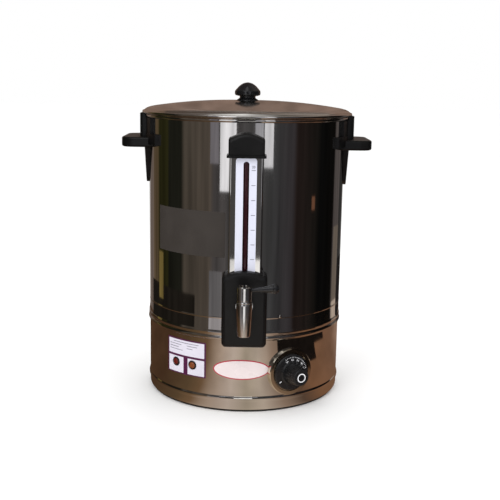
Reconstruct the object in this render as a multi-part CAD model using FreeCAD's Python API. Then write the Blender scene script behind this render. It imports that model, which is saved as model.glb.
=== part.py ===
import FreeCAD, Part
import math
import os

# Catering hot water urn, free-standing, drawn in millimetres.
# The origin is on the urn's axis at the level of the table. +Z is up and the tap faces -Y.
# Azimuths are counted from the front (-Y) towards +X. Pieces that sit on the side of the
# drum are drawn at the front first and then turned to their azimuth.

# Tank
tank_radius = 150.0
tank_wall = 1.0
tank_inner_radius = tank_radius - tank_wall
tank_floor_z = 149.0
tank_floor_thickness = 1.2
floor_under_z = tank_floor_z - tank_floor_thickness
tank_floor_corner = 5.0
tank_rim_z = 427.5
tank_rim_roll = 3.0
rim_radius = tank_radius + 2.0 * tank_rim_roll
skirt_depth = 33.5
skirt_bottom_z = tank_floor_z - skirt_depth
skirt_roll_height = 8.5
skirt_roll_top_z = skirt_bottom_z + skirt_roll_height
skirt_roll_proud = 0.9
weld_seam_drop = 6.5
weld_seam_z = tank_floor_z - weld_seam_drop
weld_seam_height = 3.0
weld_seam_proud = 0.25

# Base shell
base_step_in = 1.0
base_radius = tank_radius - base_step_in
base_wall = 1.0
base_inner_radius = base_radius - base_wall
base_bottom_z = 2.5
base_top_z = skirt_bottom_z
neck_clearance = 0.1
neck_radius = tank_inner_radius - neck_clearance
neck_top_gap = 1.0
neck_top_z = floor_under_z - neck_top_gap
upper_bead_height = 7.0
upper_bead_proud = 2.8
upper_bead_radius = base_radius + upper_bead_proud
lower_bead_top_z = 25.0
lower_bead_height = 9.0
lower_bead_proud = 1.6
lower_bead_radius = base_radius + lower_bead_proud
base_corner = 5.0
flange_depth = 29.0
flange_inner_radius = base_radius - flange_depth
bottom_plate_gap = 8.0
bottom_plate_radius = base_radius - bottom_plate_gap
bottom_plate_thickness = 1.0
plate_z = base_bottom_z + base_wall
vent_count = 12
vent_inner_radius = 55.0
vent_outer_radius = 85.0
vent_width = 5.0
foot_inset = 3.5
foot_width = 9.5
foot_outer_radius = base_radius - foot_inset
plate_screw_inset = 21.0
plate_screw_circle = base_radius - plate_screw_inset
plate_screw_count = 6
plate_screw_radius = 1.6

# Rivets between tank skirt and base neck
rivet_drop = 2.5
rivet_z = neck_top_z - rivet_drop
rivet_azimuths = (20.3, 140.3, 260.3)
rivet_shank_radius = 1.6
rivet_head_radius = 2.3
rivet_head_height = 1.2
rivet_inner_head = 1.5
rivet_gap = 0.03

# Lid
lid_overhang = 4.4
lid_radius = rim_radius + lid_overhang
lid_sheet = 1.0
lid_roll = 2.2
lid_roll_sink = 0.2
lid_ledge = 13.0
lid_step_radius = tank_radius - lid_ledge
lid_step_height = 4.5
lid_dome_rise = 8.0
lid_dome_fullness = 0.74
lid_brim_z = tank_rim_z
lid_centre_z = lid_brim_z + lid_sheet + lid_step_height + lid_dome_rise
lid_ring_gap = 2.0
lid_ring_radius = tank_inner_radius - lid_ring_gap
lid_ring_depth = 12.0
lid_ring_flange = 6.0

# Lid knob
knob_base_radius = 25.0
knob_base_thickness = 1.8
knob_neck_radius = 11.0
knob_neck_z = 7.0
knob_skirt_z = 11.5
knob_cap_z = 18.0
knob_cap_radius = 19.1
knob_height = 34.0
knob_flutes = 12
knob_flute_radius = 3.0
knob_flute_depth = 0.7
knob_screw_radius = 2.5
knob_washer_radius = 7.5
knob_washer_thickness = 2.0

# Side handles
handle_drop = 0.5
handle_top_z = tank_rim_z - handle_drop
handle_height = 106.0
handle_bottom_z = handle_top_z - handle_height
handle_plate = 4.5
handle_upper_angle = 22.0
handle_pad_angle = 30.0
handle_pad_drop = 29.0
handle_pad_height = 16.0
handle_pad_proud = 1.0
handle_pad_top_z = handle_top_z - handle_pad_drop
handle_pad_bottom_z = handle_pad_top_z - handle_pad_height
handle_leg_width = 74.0
handle_leg_end_width = 40.0
handle_leg_end_rise = 8.0
handle_leg_proud = 7.5
handle_leg_tail = 4.0
handle_spine_proud = 12.8
handle_spine_width = 44.0
handle_spine_corner = 5.0
grip_reach = 38.5
grip_width = 100.0
grip_drop = 34.5
grip_height = 15.0
grip_top_z = handle_top_z - grip_drop
grip_bottom_z = grip_top_z - grip_height
grip_roof = 4.5
grip_lip = 8.0
grip_hollow_width = 78.0
grip_back = 6.5
grip_corner = 18.0
grip_edge = 3.0
handle_screw_radius = 2.5
handle_screw_drops = (17.0, 82.0)
handle_screw_zs = tuple(handle_top_z - drop for drop in handle_screw_drops)

# Small pan-head screws
pan_head_ratio = 1.9
pan_head_height = 1.9
thread_bite = 8.0
thread_end_gap = 0.5

# Tap shank and shroud, whose heights the rest of the tap and the gauge follow
shank_rise = 21.0
shank_z = tank_floor_z + shank_rise
shank_radius = 8.5
shank_bore = 5.5
shank_inside = 14.0
shank_fit = 0.1
shroud_rise = 48.0
shroud_drop = 62.0
shroud_top_z = shank_z + shroud_rise
shroud_bottom_z = shank_z - shroud_drop
shroud_depth = 32.0
shroud_front_y = tank_radius + shroud_depth
shroud_wall = 2.5
shroud_corner = 6.0
shroud_edge = 5.0
shroud_arch_drop = 6.0
moulding_sink = 8.0

# Water gauge
gauge_stand = 11.0
gauge_y = tank_radius + gauge_stand
cover_half_width = 23.4
cover_depth = 20.0
cover_front_y = tank_radius + cover_depth
cover_sheet = 1.0
cover_corner = 2.5
cover_tuck = 13.0
cover_bottom_z = shroud_top_z - cover_tuck
cover_drop = 42.5
cover_top_z = tank_rim_z - cover_drop
scale_half_width = 14.5
scale_thickness = 0.6
scale_drop = 9.0
scale_top_z = cover_top_z - scale_drop
scale_corner = 6.0
slot_width = 8.0
slot_end_gap = 6.0
slot_bottom_z = cover_bottom_z + 1.0
slot_top_z = scale_top_z - slot_end_gap
glass_radius = 5.0
glass_wall = 1.5
glass_bore = glass_radius - glass_wall
glass_fit = 0.05
glass_rise = 7.0
glass_top_z = cover_top_z + glass_rise
seal_wall = 2.5
seal_radius = glass_radius + seal_wall
seal_length = 8.0
shroud_side = 8.3
shroud_half_width = cover_half_width + shroud_side
cap_side = 1.6
cap_half_width = cover_half_width + cap_side
cap_skirt_side = 2.3
cap_skirt_half_width = cap_half_width + cap_skirt_side
cap_skirt_height = 3.5
cap_skirt_proud = 1.0
cap_skirt_corner = 5.0
cap_lap = 10.0
cap_bottom_z = cover_top_z - cap_lap
cap_roof = 10.5
cap_corner_z = glass_top_z + cap_roof
cap_arch = 5.5
cap_peak_z = cap_corner_z + cap_arch
cap_depth = 26.0
cap_front_y = tank_radius + cap_depth
cap_corner = 4.0
cap_edge = 4.0
cap_screw_x = 15.0
cap_screw_drop = 8.5
cap_screw_z = cap_corner_z - cap_screw_drop
running_gap = 0.2

# Tap
tap_reach = 55.0
tap_y = tank_radius + tap_reach
collar_side = 3.5
collar_radius = shank_radius + collar_side
collar_thickness = 3.0
barrel_rise = 10.0
barrel_length = 47.0
barrel_top_z = shank_z + barrel_rise
barrel_bottom_z = barrel_top_z - barrel_length
barrel_top_radius = 11.3
barrel_bottom_radius = 9.2
barrel_belly = 0.35
barrel_spout_bore = 6.0
plug_radius = 7.5
plug_clearance = 0.05
plug_depth = 22.0
plug_bottom_z = barrel_top_z - plug_depth
plug_port_radius = 5.0
plug_ring_section = 1.2
plug_ring_drop = 2.5
stem_radius = 4.0
head_gap = 0.3
head_radius = 10.4
head_foot_radius = 11.2
head_foot_height = 4.0
head_height = 20.0
head_top_z = barrel_top_z + head_height
ring_height = 3.5
ring_dish_radius = 6.0
ring_dish_depth = 1.2
ring_notches = 6
ring_notch_width = 3.5
ring_notch_depth = 1.6
lever_start_x = 9.0
lever_end_x = 47.5
lever_drop = 2.6
lever_z = head_top_z - lever_drop
lever_rise_degrees = 6.0
lever_root = 3.5
lever_neck_radius = 2.5
lever_tip_radius = 6.2
tee_side = 4.5
tee_radius = shank_radius + tee_side
tee_boss_wall = 2.0
tee_boss_radius = seal_radius + tee_boss_wall
tee_boss_height = 30.0
tee_boss_top_z = shank_z + tee_boss_height
glass_seat_depth = 10.0
glass_bottom_z = tee_boss_top_z - glass_seat_depth
nut_flats = 30.0
nut_thickness = 6.0
washer_thickness = 2.0
washer_radius = 14.0
lock_nut_face = tank_inner_radius - 2.0 * washer_thickness

# Thermostat and dial
dial_azimuth = 27.2
dial_z = 59.4
bezel_radius = 35.0
bezel_bore = 20.0
bezel_proud = 4.5
bezel_front = base_radius + bezel_proud
bezel_depth = 14.0
bezel_lip = 1.2
bezel_step = 1.0
skirt_radius = 27.2
skirt_room = 2.0
skirt_thickness = 3.2
skirt_edge = 1.2
hub_radius = 16.5
hub_end_radius = 12.5
hub_proud = 35.0
hub_reach = base_radius + hub_proud
hub_corner = 1.5
hub_foot = 3.0
hub_flutes = 18
hub_flute_radius = 1.6
hub_flute_set = 0.9
hub_cap_radius = 7.0
hub_cap_thickness = 1.0
spindle_radius = 3.0
spindle_fit = 0.06
spindle_cover = 12.5
spindle_end = hub_reach - spindle_cover
spindle_inside = 12.0
spindle_hole = 5.0
thermostat_width = 40.0
thermostat_depth = 28.0
thermostat_corner = 3.0
thermostat_back = 8.0
thermostat_front = base_inner_radius - thermostat_back
nose_radius = 6.0
bracket_sheet = 2.0
bracket_ear = 8.0
bulb_radius = 3.0
bulb_length = 70.0
bulb_z = floor_under_z - bulb_radius
capillary_radius = 1.0
capillary_bend = 8.0
capillary_low_bend = 6.0
clip_width = 8.0
clip_sheet = 1.5

# Pilot lamps, one red and one amber
lamp_azimuths = (-41.9, -30.1)
lamp_z = 65.3
lamp_hole = 5.0
lamp_wall = 1.2
lamp_lens_radius = 6.0
lamp_lens_dome = 2.4
lamp_lens_length = 12.0
lamp_rim_thickness = 1.5
lamp_rim_sink = 0.5
lamp_body_length = 22.0
lamp_clip_side = 2.0
lamp_clip_thickness = 1.5

# Heating element and safety parts
element_room = 57.0
element_loop_radius = tank_inner_radius - element_room
element_tube_radius = 4.2
element_rise = 19.0
element_z = tank_floor_z + element_rise
element_leg_x = 22.0
element_bend = 14.0
element_tail = 15.8
element_tail_z = floor_under_z - element_tail
element_nut_flats = 19.0
element_nut_thickness = 4.0
seal_washer_radius = 9.0
seal_washer_thickness = 2.0
cutout_radius = 9.0
cutout_height = 10.0
cutout_x = 45.0
cutout_y = 30.0
cutout_tab_gap = 10.0
cutout_tab_length = 8.0
cutout_tab_width = 6.0
cutout_tab_sheet = 0.8
cutout_strap_side = 14.0
cutout_strap_edge = 3.0
clamp_sheet = 1.5

# Rear cable gland
gland_z = 40.0
gland_bore = 4.0
gland_body_radius = 8.0
gland_flange_radius = 12.0
gland_flange_thickness = 4.0
gland_outside = 16.0
gland_inside = 10.0
gland_nut_flats = 22.0
gland_nut_thickness = 5.0

# Terminal block
block_length = 46.0
block_width = 20.0
block_height = 18.0
block_y = 70.0
block_poles = 3
block_hole_z = 7.0
block_wire_radius = 2.6
block_screw_radius = 2.2
block_screw_inset = 5.0
block_groove = 1.6
block_groove_floor = 3.0

# Reach of a cutting tool past the piece that it cuts
tool_spare = 5.0
tool_through = 2.0 * tank_radius


def vec(x, y, z):
    return FreeCAD.Vector(x, y, z)


UP = vec(0, 0, 1)
OUTWARD = vec(0, -1, 0)
INWARD = vec(0, 1, 0)
CENTRE = vec(0, 0, 0)


def cylinder(radius, start, length, direction=UP):
    return Part.makeCylinder(radius, length, start, direction)


def block(x_low, x_high, y_low, y_high, z_low, z_high):
    return Part.makeBox(x_high - x_low, y_high - y_low, z_high - z_low, vec(x_low, y_low, z_low))


def outline(steps):
    """Edges through (a, b) points. A step of four numbers is an arc: through point, end point."""
    edges = []
    here = vec(steps[0][0], 0, steps[0][1])
    for step in steps[1:]:
        end = vec(step[-2], 0, step[-1])
        if len(step) == 4:
            middle = vec(step[0], 0, step[1])
            edges.append(Part.Arc(here, middle, end).toShape())
        else:
            edges.append(Part.makeLine(here, end))
        here = end
    return edges


def closed_face(steps):
    first = steps[0]
    edges = outline(steps)
    last = steps[-1]
    if abs(last[-2] - first[0]) > 1e-6 or abs(last[-1] - first[1]) > 1e-6:
        edges.append(Part.makeLine(vec(last[-2], 0, last[-1]), vec(first[0], 0, first[1])))
    return Part.Face(Part.Wire(edges))


def turned(steps, centre=CENTRE, direction=UP):
    """A solid of revolution from a profile of (radius, height) steps."""
    solid = closed_face(steps).revolve(CENTRE, UP, 360)
    solid.Placement = FreeCAD.Placement(centre, FreeCAD.Rotation(UP, direction))
    return solid


def at_azimuth(shape, azimuth):
    copy = shape.copy()
    copy.rotate(CENTRE, UP, azimuth)
    return copy


def wall_y(radius, x=0.0):
    """Distance in front of the axis at which a drum of this radius stands beside x."""
    return math.sqrt(radius ** 2 - x ** 2)


def hexagon(flats, thickness, start, direction=UP):
    corner = flats / math.sqrt(3.0)
    points = []
    for index in range(7):
        angle = math.radians(60.0 * index)
        points.append(vec(corner * math.cos(angle), corner * math.sin(angle), 0))
    solid = Part.Face(Part.makePolygon(points)).extrude(vec(0, 0, thickness))
    solid.Placement = FreeCAD.Placement(start, FreeCAD.Rotation(UP, direction))
    return solid


def pan_screw(radius, length, seat, direction):
    """A pan-head screw whose head seats at the point and whose shank runs along the direction."""
    head = pan_head_ratio * radius
    crown = pan_head_height
    steps = [
        (0, length), (radius, length), (radius, 0), (head, 0),
        (head, -0.4 * crown), (0.8 * head, -0.85 * crown, 0.45 * head, -crown), (0, -crown),
    ]
    return turned(steps, seat, direction)


def rounded_plate(half_width, z_low, z_high, corner, y, arch=0.0):
    """Upright outline at depth y with round lower corners and an arched, round-cornered top."""
    left = -half_width
    right = half_width
    near = corner * (1.0 - math.sqrt(0.5))
    shoulder = z_high - arch
    points = [
        (left + corner, z_low), (right - corner, z_low),
        (right - near, z_low + near, right, z_low + corner),
        (right, shoulder - corner),
        (right - near, shoulder - near, right - corner, shoulder),
        (0.0, z_high, left + corner, shoulder) if arch > 0.0 else (left + corner, shoulder),
        (left + near, shoulder - near, left, shoulder - corner),
        (left, z_low + corner),
        (left + near, z_low + near, left + corner, z_low),
    ]
    wire = Part.Wire(outline(points))
    wire.translate(vec(0, y, 0))
    return wire


def pillow(half_width, z_low, z_high, corner, back_y, front_y, arch, edge):
    """A moulded cover: straight sides from the back, then an eased edge to a flat front."""
    stages = [
        (0.0, back_y),
        (0.0, front_y - 1.6 * edge),
        (0.14 * edge, front_y - 0.7 * edge),
        (0.45 * edge, front_y - 0.2 * edge),
        (edge, front_y),
    ]
    wires = []
    for inset, distance in stages:
        half = half_width - inset
        wires.append(rounded_plate(half, z_low + inset, z_high - inset, corner, -distance, arch))
    return Part.makeLoft(wires, True, True)


# Drum, base and rim

drum_clear = cylinder(tank_radius, CENTRE, tank_rim_z + tank_radius)


def make_tank():
    rim_low_z = tank_rim_z - 2.0 * tank_rim_roll
    rim_mid_z = tank_rim_z - tank_rim_roll
    roll_mid_z = 0.5 * (skirt_bottom_z + skirt_roll_top_z)
    seam_low = weld_seam_z - 0.5 * weld_seam_height
    seam_high = weld_seam_z + 0.5 * weld_seam_height
    corner = tank_floor_corner
    bend = corner * (1.0 - math.sqrt(0.5))
    inner = tank_inner_radius
    steps = [
        (tank_radius, skirt_bottom_z),
        (tank_radius + skirt_roll_proud, roll_mid_z, tank_radius, skirt_roll_top_z),
        (tank_radius, seam_low),
        (tank_radius + weld_seam_proud, weld_seam_z, tank_radius, seam_high),
        (tank_radius, rim_low_z),
        (tank_radius + tank_rim_roll, rim_low_z),
        (rim_radius, rim_mid_z, tank_radius + tank_rim_roll, tank_rim_z),
        (inner, tank_rim_z),
        (inner, tank_floor_z + corner),
        (inner - bend, tank_floor_z + bend, inner - corner, tank_floor_z),
        (0, tank_floor_z),
        (0, floor_under_z),
        (inner, floor_under_z),
        (inner, skirt_bottom_z),
    ]
    tank = turned(steps)
    holes = [side_hole(shank_radius, shank_z, 0.0)]
    for x in (-cap_screw_x, cap_screw_x):
        hole = side_hole(knob_screw_radius, cap_screw_z, 0.0)
        hole.translate(vec(x, 0, 0))
        holes.append(hole)
    for side in (90.0, -90.0):
        for z in handle_screw_zs:
            holes.append(side_hole(handle_screw_radius, z, side))
    for azimuth in rivet_azimuths:
        holes.append(side_hole(rivet_shank_radius, rivet_z, azimuth))
    leg_x, leg_y = element_leg_place()
    for x in (-leg_x, leg_x):
        start = vec(x, leg_y, floor_under_z - tool_spare)
        holes.append(cylinder(element_tube_radius, start, tank_floor_corner + 2.0 * tool_spare))
    return tank.cut(Part.makeCompound(holes))


def pin_hole(radius):
    return radius + shank_fit


def side_hole(radius, z, azimuth):
    """Tool for a pin's hole through the drum's wall at a height and azimuth."""
    depth = moulding_sink + 2.0 * tool_spare
    hole = cylinder(pin_hole(radius), vec(0, -tank_radius - tool_spare, z), depth, INWARD)
    return at_azimuth(hole, azimuth)


def base_outline(shrink):
    """Outer line of the base shell, from the neck down to the turned-in flange."""
    bead_low = base_top_z - upper_bead_height
    bead_mid = 0.5 * (base_top_z + bead_low)
    low_bead_mid = lower_bead_top_z - 0.5 * lower_bead_height
    low_bead_low = lower_bead_top_z - lower_bead_height
    bend = base_corner * (1.0 - math.sqrt(0.5))
    side = base_radius - shrink
    bottom = base_bottom_z + shrink
    neck = neck_radius - shrink
    return [
        (neck, neck_top_z),
        (neck, base_top_z - shrink),
        (tank_radius - shrink, base_top_z - shrink),
        (upper_bead_radius - shrink, bead_mid, side, bead_low),
        (side, lower_bead_top_z),
        (lower_bead_radius - shrink, low_bead_mid, side, low_bead_low),
        (side, bottom + base_corner - shrink),
        (side - bend, bottom + bend, side - base_corner, bottom),
        (flange_inner_radius, bottom),
    ]


def make_base_shell():
    outer = base_outline(0.0)
    inner = base_outline(base_wall)
    outer_edges = outline(outer)
    inner_edges = outline(inner)
    ends = [
        Part.makeLine(vec(outer[0][0], 0, outer[0][1]), vec(inner[0][0], 0, inner[0][1])),
        Part.makeLine(vec(outer[-1][-2], 0, outer[-1][-1]), vec(inner[-1][-2], 0, inner[-1][-1])),
    ]
    face = Part.Face(Part.Wire(Part.__sortEdges__(outer_edges + inner_edges + ends)))
    shell = face.revolve(CENTRE, UP, 360)
    holes = [side_hole(spindle_hole - shank_fit, dial_z, dial_azimuth)]
    for azimuth in lamp_azimuths:
        holes.append(side_hole(lamp_hole - shank_fit, lamp_z, azimuth))
    for azimuth in rivet_azimuths:
        holes.append(side_hole(rivet_shank_radius, rivet_z, azimuth))
    holes.append(side_hole(gland_body_radius - shank_fit, gland_z, 180.0))
    for x, y in plate_screw_places():
        holes.append(cylinder(pin_hole(plate_screw_radius), vec(x, y, 0), base_bottom_z + tool_spare))
    return shell.cut(Part.makeCompound(holes))


def plate_screw_places():
    places = []
    for index in range(plate_screw_count):
        angle = 2.0 * math.pi * index / plate_screw_count
        places.append((plate_screw_circle * math.sin(angle), -plate_screw_circle * math.cos(angle)))
    return places


def make_bottom_plate():
    plate = cylinder(bottom_plate_radius, vec(0, 0, plate_z), bottom_plate_thickness)
    half = 0.5 * vent_width
    low = plate_z - tool_spare
    high = plate_z + tool_spare
    cuts = []
    for index in range(vent_count):
        bar = block(-half, half, -vent_outer_radius, -vent_inner_radius, low, high)
        for y in (-vent_outer_radius, -vent_inner_radius):
            bar = bar.fuse(cylinder(half, vec(0, y, low), high - low))
        cuts.append(at_azimuth(bar, 360.0 * (index + 0.5) / vent_count))
    for x, y in plate_screw_places():
        cuts.append(cylinder(pin_hole(plate_screw_radius), vec(x, y, 0), plate_z + tool_spare))
    return plate.cut(Part.makeCompound(cuts))


def make_bottom_plate_screws():
    screws = []
    for x, y in plate_screw_places():
        screws.append(pan_screw(plate_screw_radius, thread_bite, vec(x, y, base_bottom_z), UP))
    return Part.makeCompound(screws)


def make_foot_ring():
    top = base_bottom_z
    bulge = 0.5 * top
    inner = foot_outer_radius - foot_width
    steps = [
        (inner, 0), (foot_outer_radius - bulge, 0),
        (foot_outer_radius, bulge, foot_outer_radius - bulge, top),
        (inner, top),
    ]
    return turned(steps)


def make_shell_rivets():
    rivets = []
    head = rivet_head_radius
    inside = wall_y(neck_radius - base_wall, head) - rivet_gap
    flat = tank_radius + weld_seam_proud + rivet_gap
    for azimuth in rivet_azimuths:
        steps = [
            (0, inside - rivet_inner_head), (head, inside - rivet_inner_head), (head, inside),
            (rivet_shank_radius, inside), (rivet_shank_radius, flat), (head, flat),
            (0.7 * head, flat + 0.75 * rivet_head_height, 0.15 * head, flat + rivet_head_height),
            (0, flat + rivet_head_height),
        ]
        rivet = turned(steps, vec(0, 0, rivet_z), OUTWARD)
        rivets.append(at_azimuth(rivet, azimuth))
    return Part.makeCompound(rivets)


# Lid

def lid_surface(lift):
    """Lid section from the brim to the centre, on its underside or lifted to its top."""
    step = lid_step_height
    dome_edge = lid_step_radius - step
    base = lid_brim_z + lift
    crown = base + step + lid_dome_rise
    mid_radius = 0.5 * dome_edge
    mid_z = base + step + lid_dome_fullness * lid_dome_rise
    return [
        (lid_radius - lid_roll, base), (lid_step_radius, base),
        (dome_edge, base + step),
        (mid_radius, mid_z, 0, crown),
    ]


def make_lid():
    under = outline(lid_surface(0.0))
    over = outline(lid_surface(lid_sheet))
    edge = lid_radius - lid_roll
    rim = Part.makeLine(vec(edge, 0, lid_brim_z), vec(edge, 0, lid_brim_z + lid_sheet))
    axis = Part.makeLine(vec(0, 0, lid_centre_z - lid_sheet), vec(0, 0, lid_centre_z))
    profile = Part.Wire(Part.__sortEdges__(under + over + [rim, axis]))
    sheet = Part.Face(profile).revolve(CENTRE, UP, 360)
    roll = Part.makeTorus(edge, lid_roll, vec(0, 0, lid_brim_z + lid_roll - lid_roll_sink))
    hole = cylinder(pin_hole(knob_screw_radius), vec(0, 0, lid_brim_z), lid_centre_z)
    return sheet.fuse(roll).cut(hole).removeSplitter()


def make_lid_ring():
    inner = lid_ring_radius - lid_sheet
    foot = lid_ring_radius - lid_ring_flange
    low = lid_brim_z - lid_ring_depth
    steps = [
        (lid_ring_radius, low), (lid_ring_radius, lid_brim_z), (foot, lid_brim_z),
        (foot, lid_brim_z - lid_sheet), (inner, lid_brim_z - lid_sheet), (inner, low),
    ]
    return turned(steps)


def make_lid_knob():
    base = lid_centre_z
    cap = knob_cap_radius
    dome = knob_height - knob_cap_z
    steps = [
        (0, 0), (knob_base_radius, 0), (knob_base_radius, knob_base_thickness),
        (0.62 * knob_base_radius, 0.42 * knob_neck_z, knob_neck_radius, knob_neck_z),
        (knob_neck_radius + 1.2, knob_skirt_z - 1.5, cap - 2.2, knob_skirt_z),
        (cap - 0.5, knob_skirt_z + 2.6, cap, knob_cap_z),
        (0.93 * cap, knob_cap_z + 0.42 * dome, 0.72 * cap, knob_cap_z + 0.74 * dome),
        (0.4 * cap, knob_height - 0.07 * dome, 0.08 * cap, knob_height), (0, knob_height),
    ]
    knob = turned(steps, vec(0, 0, base))
    flutes = []
    for index in range(knob_flutes):
        angle = 2.0 * math.pi * index / knob_flutes
        reach = cap + knob_flute_radius - knob_flute_depth
        start = vec(reach * math.cos(angle), reach * math.sin(angle), base + knob_neck_z + 1.0)
        flutes.append(cylinder(knob_flute_radius, start, knob_height))
    knob = knob.cut(Part.makeCompound(flutes))
    return knob.cut(cylinder(knob_screw_radius, vec(0, 0, base - 1.0), thread_bite + 4.0))


def make_knob_washer():
    low = vec(0, 0, lid_centre_z - lid_sheet - knob_washer_thickness)
    ring = tube(knob_washer_radius, knob_screw_radius, low, knob_washer_thickness)
    return ring.cut(lid_underside_solid())


def lid_underside_solid():
    """The space above the lid's underside, for pieces that press up against the dome."""
    steps = lid_surface(0.0)
    roof = lid_centre_z + knob_height
    return turned(steps + [(0, roof), (lid_radius, roof), (lid_radius, lid_brim_z)])


def make_knob_screw():
    grip = lid_sheet + knob_washer_thickness
    return pan_screw(knob_screw_radius, grip + thread_bite, vec(0, 0, lid_centre_z - grip), UP)


# Side handles

def sector(radius, half_angle, z_low, z_high):
    wedge = cylinder(radius, vec(0, 0, z_low), z_high - z_low)
    reach = 2.0 * radius
    side = reach * math.tan(math.radians(half_angle))
    corners = [vec(0, 0, z_low), vec(side, -reach, z_low), vec(-side, -reach, z_low), vec(0, 0, z_low)]
    cheese = Part.Face(Part.makePolygon(corners)).extrude(vec(0, 0, z_high - z_low))
    return wedge.common(cheese)


def make_handle(side):
    plate_radius = tank_radius + handle_plate
    upper = sector(plate_radius, handle_upper_angle, handle_pad_bottom_z, handle_top_z)
    pad = sector(plate_radius + handle_pad_proud, handle_pad_angle, handle_pad_bottom_z, handle_pad_top_z)
    half_leg = 0.5 * handle_leg_width
    half_end = 0.5 * handle_leg_end_width
    end_z = handle_bottom_z + handle_leg_end_rise
    leg_steps = [
        (-half_leg, handle_pad_bottom_z), (half_leg, handle_pad_bottom_z),
        (half_end, end_z), (0.0, handle_bottom_z, -half_end, end_z),
    ]
    leg = closed_face(leg_steps).extrude(vec(0, -(tank_radius + grip_reach), 0))
    taper = Part.makeCone(
        tank_radius + handle_leg_tail, tank_radius + handle_leg_proud,
        handle_pad_bottom_z - handle_bottom_z, vec(0, 0, handle_bottom_z),
    )
    leg = leg.common(taper)
    spine_y = tank_radius + handle_spine_proud
    half_spine = 0.5 * handle_spine_width
    back = -wall_y(tank_radius, half_spine) + moulding_sink
    spine = block(-half_spine, half_spine, -spine_y, back, grip_bottom_z, handle_top_z)
    uprights = [edge for edge in spine.Edges if is_outer_upright(edge, spine_y)]
    spine = spine.makeFillet(handle_spine_corner, uprights)
    reach = tank_radius + grip_reach
    half_grip = 0.5 * grip_width
    back = -wall_y(tank_radius, half_grip) + moulding_sink
    shelf = block(-half_grip, half_grip, -reach, back, grip_bottom_z, grip_top_z)
    shelf = shelf.makeFillet(grip_corner, [edge for edge in shelf.Edges if is_outer_upright(edge, reach)])
    rim_edges = [edge for edge in shelf.Edges if is_level(edge) and edge.BoundBox.YMin < back - 1.0]
    shelf = shelf.makeFillet(grip_edge, rim_edges)
    body = upper.fuse([pad, leg, spine, shelf])
    hollow = block(
        -0.5 * grip_hollow_width, 0.5 * grip_hollow_width, -reach + grip_lip,
        -(tank_radius + grip_back), grip_bottom_z - tool_spare, grip_top_z - grip_roof,
    )
    rim_under_z = tank_rim_z - 2.0 * tank_rim_roll - running_gap
    rim_room = cylinder(rim_radius, vec(0, 0, rim_under_z), handle_height)
    body = body.cut([hollow, drum_clear, rim_room])
    screw_holes = []
    for z in handle_screw_zs:
        start = vec(0, -tank_radius + tool_spare, z)
        screw_holes.append(cylinder(handle_screw_radius, start, tool_spare + thread_bite_at(z), OUTWARD))
    body = body.cut(screw_holes).removeSplitter()
    return at_azimuth(body, side)


def thread_bite_at(z):
    """Depth of a handle screw's thread: short in the thin leg, longer in the spine."""
    return thread_bite if z > grip_top_z else 0.5 * handle_leg_proud


def is_outer_upright(edge, distance):
    box = edge.BoundBox
    return box.ZLength > 1.0 and box.XLength < 0.01 and abs(box.YMin + distance) < 0.01 and box.YLength < 0.01


def is_level(edge):
    return edge.BoundBox.ZLength < 0.01


def make_handle_screws(side):
    screws = []
    for z in handle_screw_zs:
        seat = wall_y(tank_inner_radius, pan_head_ratio * handle_screw_radius)
        length = tank_radius - seat + thread_bite_at(z) - thread_end_gap
        screw = pan_screw(handle_screw_radius, length, vec(0, -seat, z), OUTWARD)
        screws.append(at_azimuth(screw, side))
    return Part.makeCompound(screws)


# Water gauge

def make_gauge_cover():
    inner_half = cover_half_width - cover_sheet
    half = cover_half_width
    back = -wall_y(tank_radius, half) + moulding_sink
    outer = block(-half, half, -cover_front_y, back, cover_bottom_z, cover_top_z)
    uprights = [edge for edge in outer.Edges if is_outer_upright(edge, cover_front_y)]
    outer = outer.makeFillet(cover_corner, uprights)
    inner_front = cover_front_y - cover_sheet
    inner = block(-inner_half, inner_half, -inner_front, 0, cover_bottom_z - 1, cover_top_z + 1)
    uprights = [edge for edge in inner.Edges if is_outer_upright(edge, inner_front)]
    inner = inner.makeFillet(cover_corner - cover_sheet, uprights)
    return outer.cut([inner, slot_cut(), drum_clear])


def slot_cut():
    half = 0.5 * slot_width
    near = -cover_front_y - tool_spare
    far = -cover_front_y + tool_spare
    straight = block(-half, half, near, far, slot_bottom_z, slot_top_z - half)
    return straight.fuse(cylinder(half, vec(0, far, slot_top_z - half), far - near, OUTWARD))


def make_scale_plate():
    half = scale_half_width
    corner = scale_corner
    near = corner * (1.0 - math.sqrt(0.5))
    steps = [
        (-half, cover_bottom_z), (half, cover_bottom_z), (half, scale_top_z - corner),
        (half - near, scale_top_z - near, half - corner, scale_top_z),
        (-half + corner, scale_top_z),
        (-half + near, scale_top_z - near, -half, scale_top_z - corner),
    ]
    plate = closed_face(steps).extrude(vec(0, -scale_thickness, 0))
    plate.translate(vec(0, -cover_front_y, 0))
    return plate.cut(slot_cut())


def tube(outer, inner, start, length, direction=UP):
    bar = cylinder(outer, start, length, direction)
    back = vec(-direction.x, -direction.y, -direction.z)
    hole = cylinder(inner, start.add(back), length + 2.0, direction)
    return bar.cut(hole)


def make_gauge_glass():
    return tube(glass_radius, glass_bore, vec(0, -gauge_y, glass_bottom_z), glass_top_z - glass_bottom_z)


def make_gauge_seals():
    lower = tube(seal_radius, glass_radius, vec(0, -gauge_y, tee_boss_top_z - seal_length), seal_length)
    upper = tube(seal_radius, glass_radius, vec(0, -gauge_y, glass_top_z - seal_length), seal_length)
    return Part.makeCompound([lower, upper])


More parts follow.
